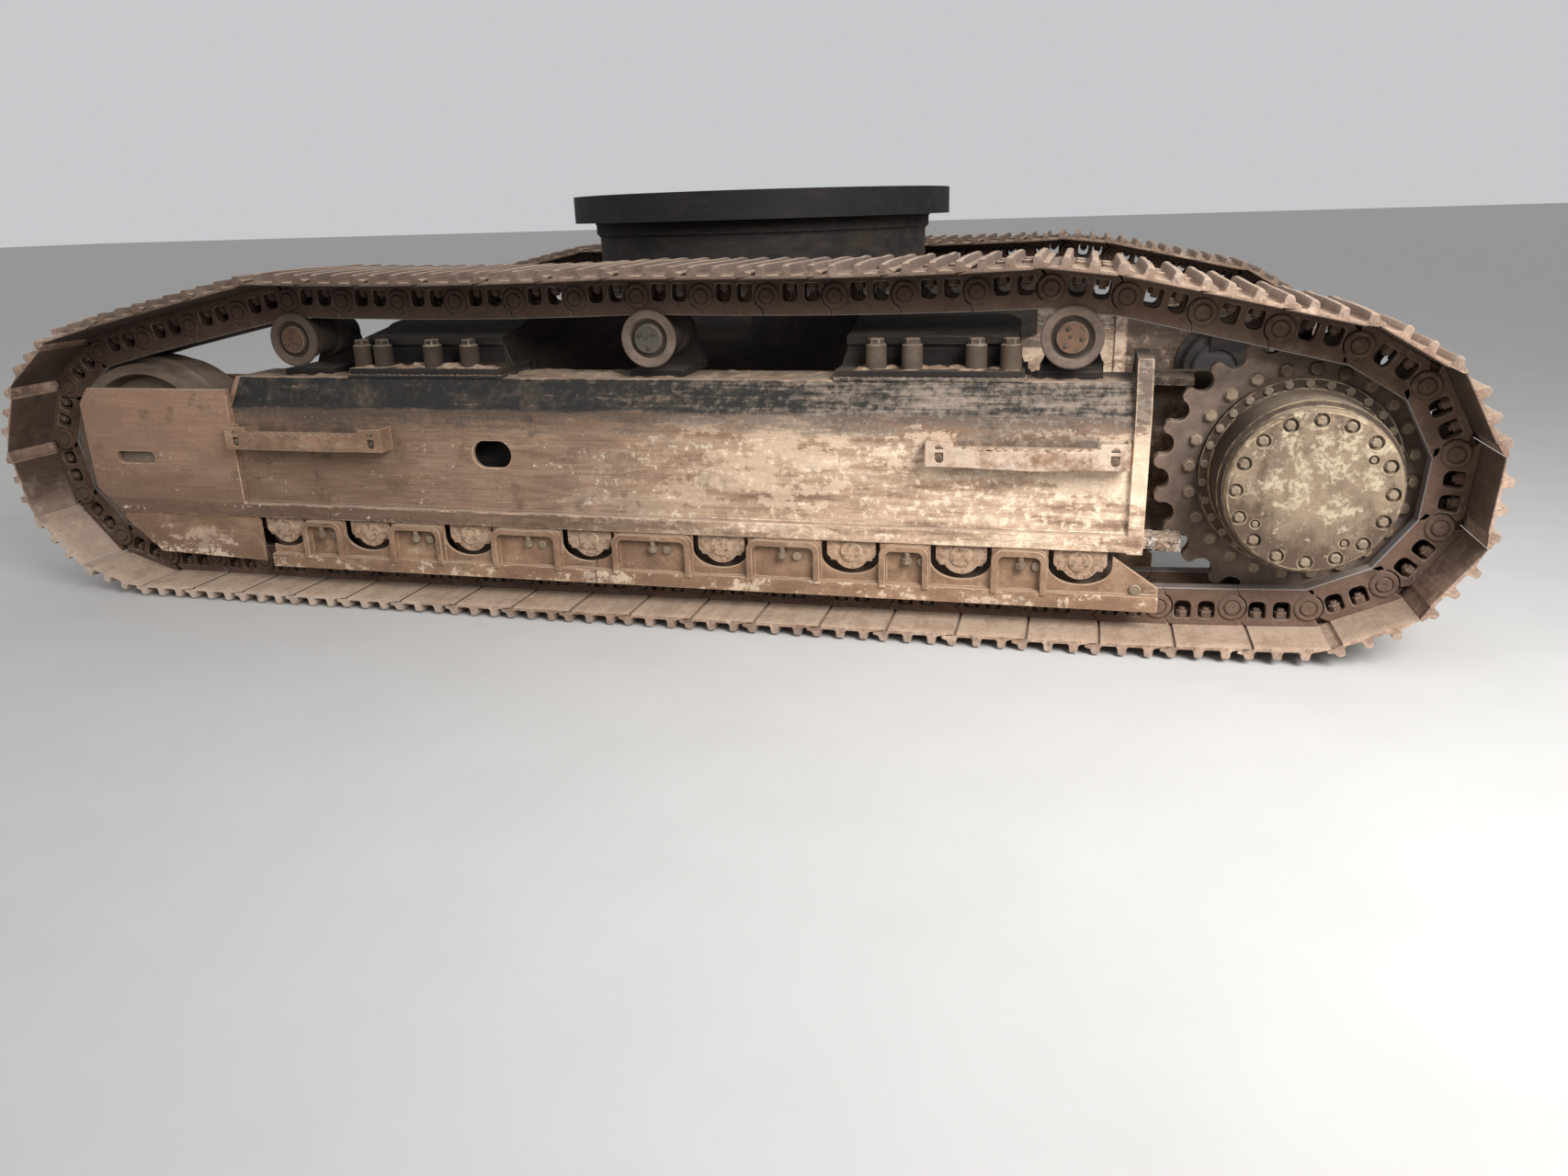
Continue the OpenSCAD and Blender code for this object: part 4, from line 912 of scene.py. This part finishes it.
# Covers of the carrier rollers: radius, sunk groove round them, and coats from rear to front
CARRIER_CAP = 0.0452
GROOVE_R = 0.0612
GROOVE_Y = CARRIER_FACE - 0.0092
CARRIER_COATS = (("red", 0.65), ("green", 0.75), ("red", 0.42))

# Bolts of the steps: distance from a step's end, heights, and depth in the slot
STEP_BOLT_X = 0.042
STEP_BOLT_Z = (0.589, 0.614)
STEP_BOLT_Y = STEP_Y - 0.012


def circle_of(centre, y, radius, count, first=0.0):
    """Matrices of parts that look outwards on a circle in X and Z."""
    turns = [math.radians(first + 360 * k / count) for k in range(count)]
    return [upright((centre.x + radius * math.cos(t), y, centre.z + radius * math.sin(t)), OUT,
                    DICE.uniform(0, 60)) for t in turns]


def drive_bolts(bm):
    """The cover's bolts and plugs in their seats, the hub's bolts and the sprocket's."""
    floor = COVER_Y - SEAT_DEEP
    stamped(bm, hex_bolt(0.0132, 0.0125, 1.2), circle_of(SPROCKET, floor, *COVER_BOLTS))
    stamped(bm, round_head(0.0085, 0.009), circle_of(SPROCKET, floor, *COVER_PLUGS)[:3])
    stamped(bm, hex_bolt(0.0122, 0.0125, 1.12), circle_of(SPROCKET, HUB_FACE, *HUB_BOLTS), green=0.35)
    stamped(bm, hex_bolt(0.0172, 0.018, 1.18), circle_of(SPROCKET, SPROCKET_FACE, *SPROCKET_BOLTS))


def guard_bolts(bm):
    """A hanging bolt and a round head in each pocket, and the head on the guard's rear slope."""
    hanging = hex_bolt(0.0155, 0.019, 0)
    shank = round_head(0.0095, 0.03, 12)
    head = round_head(0.015, 0.011)
    for rear, front in zip(ROLLERS, ROLLERS[1:]):
        x = (rear + front) / 2 + DICE.uniform(-POCKET_PLAY, POCKET_PLAY)
        stamped(bm, shank, [upright((x, HANGING_Y, GUARD_TOP - SHANK_DROP), DOWN)])
        stamped(bm, hanging, [upright((x, HANGING_Y, GUARD_TOP - HEAD_DROP), DOWN, DICE.uniform(0, 60))])
        stamped(bm, head, [upright((x - ROUND_ASIDE, GUARD_Y, GUARD_TOP - ROUND_DROP), OUT)])
    on_slope = (ROLLERS[0] - SLOPE_HEAD_BACK, GUARD_Y, SLOPE_HEAD_Z)
    stamped(bm, round_head(0.017, 0.012), [upright(on_slope, OUT)])


def roller_marks(bm):
    """Three small plugs on each collar's cap, and the covers of the carrier rollers, a dark disc painting
    shade in each one's groove.
    """
    plug = round_head(0.0048, 0.004, 8)
    for x in ROLLERS:
        stamped(bm, plug, circle_of(Vector((x, 0, ROLLER_Z)), CAP_Y, *CAP_PLUGS))
    screw = hex_bolt(0.0062, 0.007, 1.2)
    groove = round_head(GROOVE_R, 0.0012, 32)
    disc = round_head(CARRIER_CAP, 0.004, 32)
    for x, (coat, depth) in zip(CARRIERS, CARRIER_COATS):
        axle = Vector((x, 0, CARRIER_Z))
        # The disc in the sunk groove is marked dark as painted shade
        stamped(bm, groove, [upright((x, GROOVE_Y, CARRIER_Z), OUT)], dark=0.9)
        stamped(bm, disc, [upright((x, CARRIER_FACE, CARRIER_Z), OUT)], **{coat: depth})
        first = DICE.uniform(0, 120)
        stamped(bm, screw, circle_of(axle, CARRIER_FACE + 0.003, SCREWS_R, 3, first), dark=0.4)
        stamped(bm, plug, [upright((x + 0.005, CARRIER_FACE + 0.004, CARRIER_Z + 0.004), OUT)], dark=0.5)


def side_bolts(side, sign):
    """All bolts and plugs of one track side."""
    bm = bmesh.new()
    drive_bolts(bm)
    guard_bolts(bm)
    roller_marks(bm)
    bolt = hex_bolt(0.0095, 0.01, 0)
    for low, high in STEPS:
        for x in (low + STEP_BOLT_X, high - STEP_BOLT_X):
            stamped(bm, bolt, [upright((x, STEP_BOLT_Y, z), OUT) for z in STEP_BOLT_Z], dark=0.55)
    to_side(bm, sign)
    piece(f"bolts_{side}", bm, "bolt_steel")


for side, sign in SIDES:
    side_bolts(side, sign)


# Weld seams

def bead(bm, corners, radius=0.0045, step=0.008, closed=False):
    """A rippled weld bead along straight runs between corners, joined or capped at its ends."""
    corners = [Vector(c) for c in corners]
    turns = [math.tau * k / 6 for k in range(6)]
    rings = []
    for start, end in zip(corners, corners[1:] + corners[:1] if closed else corners[1:]):
        run = end - start
        count = max(1, round(run.length / step))
        across = run.cross((0.1, 0.2, 1)).normalized()
        up = run.normalized().cross(across)
        for i in range(count if closed else count + 1):
            size = radius * (0.85 + 0.3 * (len(rings) % 2)) * DICE.uniform(0.88, 1.12)
            place = start + run * i / count
            spots = [place + (across * math.cos(t) + up * math.sin(t)) * size for t in turns]
            rings.append([bm.verts.new(spot) for spot in spots])
    for first, second in zip(rings, rings[1:] + rings[:1] if closed else rings[1:]):
        for k in range(6):
            bm.faces.new((first[k - 1], first[k], second[k], second[k - 1]))
    if not closed:
        bm.faces.new(rings[0])
        bm.faces.new(rings[-1])


# Middles of the legs' feet, from the outermost sleeves on them
FOOT_HALF = 0.293
SLEEVE_ROOM = FOOT_HALF - 0.0105
SLEEVES = spans("joint_bolts_left", gap=0.3)
FEET = (SLEEVES[0][0] + SLEEVE_ROOM, SLEEVES[-1][1] - SLEEVE_ROOM)

# Outer and inner edge of a foot, how far the shoulder leans in, and the fork's thickness at the box
FOOT_OUT = 0.111
FOOT_IN = -0.11
SHOULDER_IN = 0.07
FORK_PLATE = 0.0205


def frame_welds(side, sign):
    """Seams along the side frame's wall and shoulder and round the legs' feet on it."""
    bm = bmesh.new()
    wall = HALF_W + 0.001
    rear = BOX_REAR + 0.001
    bead(bm, [(BOX_REAR, wall, LIP_Z + 0.001), (BOX_FRONT, wall, LIP_Z + 0.001)])
    bead(bm, [(rear, wall, LIP_Z), (rear, wall, SHOULDER_Z)])
    bead(bm, [(rear, wall, SHOULDER_Z), (rear, wall - SHOULDER_IN, FRAME_TOP_Z)])
    for x in (BOX_FRONT - FORK_PLATE, BOX_FRONT + 0.0005):
        bead(bm, [(x, wall, LIP_Z), (x, wall, SHOULDER_Z)])
    toe_z = FRAME_TOP_Z + 0.002
    for foot in FEET:
        ends = (foot - FOOT_HALF, foot + FOOT_HALF)
        bead(bm, [(ends[0], FOOT_OUT, toe_z), (ends[1], FOOT_OUT, toe_z)], 0.008, 0.011)
        for x in ends:
            bead(bm, [(x, FOOT_IN, toe_z), (x, FOOT_OUT, toe_z)], 0.008, 0.011)
    bmesh.ops.recalc_face_normals(bm, faces=bm.faces)
    to_side(bm, sign)
    piece(f"frame_welds_{side}", bm, "frame_tan")


for side, sign in SIDES:
    frame_welds(side, sign)


# Dried dirt on the feet, the frame's top and the scraper, and the seam in the guard's foot bar

# Dirt: top of a foot's pad, half its length, its span outwards, corners on the frame's top, depth of roots
PAD_TOP = 0.832
PAD_HALF = 0.285
PAD_Y = (0.037, 0.109)
TOP_CORNERS = ((-1.5, -0.104), (1.56, 0.104))
CRUST_ROOT = 0.006

# Corners of the mud round the scraper
MUD_CORNERS = ((END_REAR - 0.1125, 0.042, 0.291), (END_REAR + 0.004, 0.1305, 0.3335))

# The seam's place along X, its lower end, the top of the foot bar and of the seam
SEAM_X = 0.197
SEAM_LOW = 0.1185
BAR_TOP = 0.1675
SEAM_TOP = 0.2


def crust(bm, low, high, z, height, grain, shift):
    """A patch of dirt: a grid whose lumps rise through the plate it lies on."""
    steps = [max(2, round((high[k] - low[k]) / grain)) for k in (0, 1)]
    rows = []
    for i in range(steps[0] + 1):
        row = []
        for j in range(steps[1] + 1):
            u, v = i / steps[0], j / steps[1]
            x, y = low[0] + (high[0] - low[0]) * u, low[1] + (high[1] - low[1]) * v
            lumps = noise.fractal(Vector((x * 14 + shift, y * 14, 0)), 0.9, 2.1, 5) * 0.8 + 0.25
            thin_ends = 12 * min(u, 1 - u) * steps[0] * grain + 0.05
            edge = min(1, thin_ends, 5 * min(v, 1 - v) + 0.1)
            row.append(bm.verts.new((x, y, z + height * (lumps * edge - 0.08))))
        rows.append(row)
    for first, second in zip(rows, rows[1:]):
        for j in range(steps[1]):
            bm.faces.new((first[j], second[j], second[j + 1], first[j + 1]))
    rim = rows[0] + [row[-1] for row in rows[1:]] + rows[-1][-2::-1] + [row[0] for row in rows[-2:0:-1]]
    sunk = [bm.verts.new((v.co.x, v.co.y, z - CRUST_ROOT)) for v in rim]
    for i in range(len(rim)):
        bm.faces.new((rim[i - 1], rim[i], sunk[i], sunk[i - 1]))
    bm.faces.new(sunk)


def caked(bm, low, high, height, cells):
    """A block of mud with lumpy sides."""
    size = [b - a for a, b in zip(low, high)]
    bmesh.ops.create_cube(bm, size=1)
    bmesh.ops.subdivide_edges(bm, edges=bm.edges[:], cuts=cells, use_grid_fill=True)
    bm.normal_update()
    for vert in bm.verts:
        spot = Vector([a + s * (c + 0.5) for a, s, c in zip(low, size, vert.co)])
        lumps = noise.fractal(spot * 70, 0.7, 2.1, 4)
        vert.co = spot + vert.normal * height * lumps


def dirt(side, sign):
    """Dirt on the feet and the frame's top, and mud round the scraper."""
    bm = bmesh.new()
    for foot in FEET:
        crust(bm, (foot - PAD_HALF, PAD_Y[0]), (foot + PAD_HALF, PAD_Y[1]), PAD_TOP, 0.022, 0.007,
              foot * 9 + sign)
    crust(bm, *TOP_CORNERS, FRAME_TOP_Z, 0.016, 0.012, 3 * sign)
    bmesh.ops.recalc_face_normals(bm, faces=bm.faces)
    to_side(bm, sign)
    piece(f"dirt_{side}", bm, "guard_tan")
    bm = bmesh.new()
    caked(bm, *MUD_CORNERS, 0.0075, 20)
    to_side(bm, sign)
    piece(f"scraper_mud_{side}", bm, "frame_tan")


def guard_seam(side, sign):
    """The dark seam where two lengths of the guard meet."""
    bm = bmesh.new()
    above_bar = [(SEAM_X, SEAM_LOW), (SEAM_X + 0.0025, SEAM_LOW), (SEAM_X + 0.004, SEAM_TOP),
                 (SEAM_X + 0.0012, SEAM_TOP)]
    slab(bm, above_bar, [], GUARD_Y - 0.002, GUARD_Y + 0.0004)
    on_bar = [(SEAM_X, SEAM_LOW), (SEAM_X + 0.003, SEAM_LOW), (SEAM_X + 0.003, BAR_TOP), (SEAM_X, BAR_TOP)]
    slab(bm, on_bar, [], GUARD_Y, GUARD_Y + 0.0205)
    tidy(bm)
    to_side(bm, sign)
    piece(f"guard_seam_{side}", bm, "cast_dark")


for side, sign in SIDES:
    dirt(side, sign)
    guard_seam(side, sign)


# Slewing ring and carbody

# Bolts of the fixed race: radius of their circle and count; half the square of the belly cover's bolts
RACE_BOLTS_R = 0.666
RACE_BOLTS = 40
BELLY_BOLTS = 0.255
BELLY_Z = 0.588

# Middle of the seal between the races, and half its width and height
SEAL_R = 0.7185
SEAL_HALF = (0.006, 0.005)

# Seams round the pedestal: radius and height
PEDESTAL_SEAMS = ((0.702, 1.002), (0.7005, 1.234))


def ring_bolts():
    """Low bolt heads on the fixed race, and the bolts of the cover under the belly."""
    bm = bmesh.new()
    outwards = Matrix.Translation((RACE_BOLTS_R, 0, INNER_TOP))
    heads = [Matrix.Rotation(math.tau * k / RACE_BOLTS, 4, "Z") @ outwards for k in range(RACE_BOLTS)]
    stamped(bm, hex_bolt(0.0145, 0.0075), heads)
    across = (-BELLY_BOLTS, BELLY_BOLTS)
    under = [upright((x, y, BELLY_Z), DOWN) for x in across for y in across]
    stamped(bm, hex_bolt(0.014, 0.011, 1.3), under)
    piece("ring_bolts", bm, "bolt_steel")


def race_seal():
    """The seal between the two races."""
    bm = bmesh.new()
    turns = [math.tau * k / 8 for k in range(8)]
    section = [(SEAL_R + SEAL_HALF[0] * math.cos(t), 0.001 + SEAL_HALF[1] * math.sin(t)) for t in turns]
    ring = [bm.verts.new((radius, 0, INNER_TOP + height)) for radius, height in section]
    edges = [bm.edges.new((ring[k - 1], ring[k])) for k in range(8)]
    bmesh.ops.spin(bm, geom=ring + edges, cent=(0, 0, 0), axis=(0, 0, 1), angle=math.tau, steps=120,
                   use_merge=True)
    tidy(bm)
    piece("race_seal", bm, "cast_dark")


def carbody_welds():
    """Seams round the pedestal's foot and under its flange."""
    bm = bmesh.new()
    turns = [math.tau * k / 72 for k in range(72)]
    for radius, z in PEDESTAL_SEAMS:
        bead(bm, [(radius * math.cos(t), radius * math.sin(t), z) for t in turns], 0.006, 0.012, True)
    bmesh.ops.recalc_face_normals(bm, faces=bm.faces)
    piece("carbody_welds", bm, "frame_black")


ring_bolts()
race_seal()
carbody_welds()


# Floor, lamps and camera

FLOOR_TONES = ((0.47, 0.46, 0.445, 1), (0.52, 0.51, 0.495, 1))
SKY = (0.86, 0.88, 0.9, 1)
SKY_STRENGTH = 0.66

# Soft lamps: place, aim, size, power and spread in degrees
LAMPS = (
    ((-4.0, 5.0, 3.6), (-1.7, 1.4, 0.5), 3.0, 158, 95),
    ((5.0, 6.0, 5.0), (1.0, 1.2, 0.4), 6.0, 140, 180),
)

# The photograph's viewpoint, from the places of rollers, idler and sprocket in it; turns in degrees
CAMERA_PLACE = (-1.3711, 5.0056, 1.3066)
CAMERA_TURNS = (71.7099, 1.6618, -165.7092)
SENSOR_WIDTH = 36
FOCAL_LENGTH = 26.14


def stage():
    """A plain pale floor under a plain sky."""
    bm = bmesh.new()
    bmesh.ops.create_grid(bm, x_segments=1, y_segments=1, size=120)
    floor = bpy.data.objects.new("floor", mesh_of(bm, "floor"))
    bpy.context.scene.collection.objects.link(floor)
    f = Finish("floor")
    grain = f.noise(3, 4)
    floor.data.materials.append(f.close(f.blend(grain, *FLOOR_TONES), 0.9, grain, 0.0005))
    world = bpy.data.worlds.new("studio")
    bpy.context.scene.world = world
    world.use_nodes = True
    sky = world.node_tree.nodes["Background"]
    sky.inputs["Color"].default_value = SKY
    sky.inputs["Strength"].default_value = SKY_STRENGTH


def lamps():
    """Round soft lamps over the left side."""
    for spot, aim, size, power, spread in LAMPS:
        lamp = bpy.data.lights.new("softbox", "AREA")
        lamp.shape = "DISK"
        lamp.size = size
        lamp.energy = power
        lamp.spread = math.radians(spread)
        holder = bpy.data.objects.new("softbox", lamp)
        holder.location = spot
        holder.rotation_euler = (Vector(aim) - Vector(spot)).to_track_quat("-Z", "Y").to_euler()
        bpy.context.scene.collection.objects.link(holder)


def camera():
    """The camera at the photograph's viewpoint."""
    lens = bpy.data.cameras.new("camera")
    lens.sensor_width = SENSOR_WIDTH
    lens.lens = FOCAL_LENGTH
    lens.clip_end = 300
    holder = bpy.data.objects.new("camera", lens)
    turn = Euler([math.radians(angle) for angle in CAMERA_TURNS]).to_matrix().to_4x4()
    holder.matrix_world = Matrix.Translation(CAMERA_PLACE) @ turn
    bpy.context.scene.collection.objects.link(holder)
    bpy.context.scene.camera = holder


stage()
lamps()
camera()
bpy.context.scene.view_settings.view_transform = "Standard"
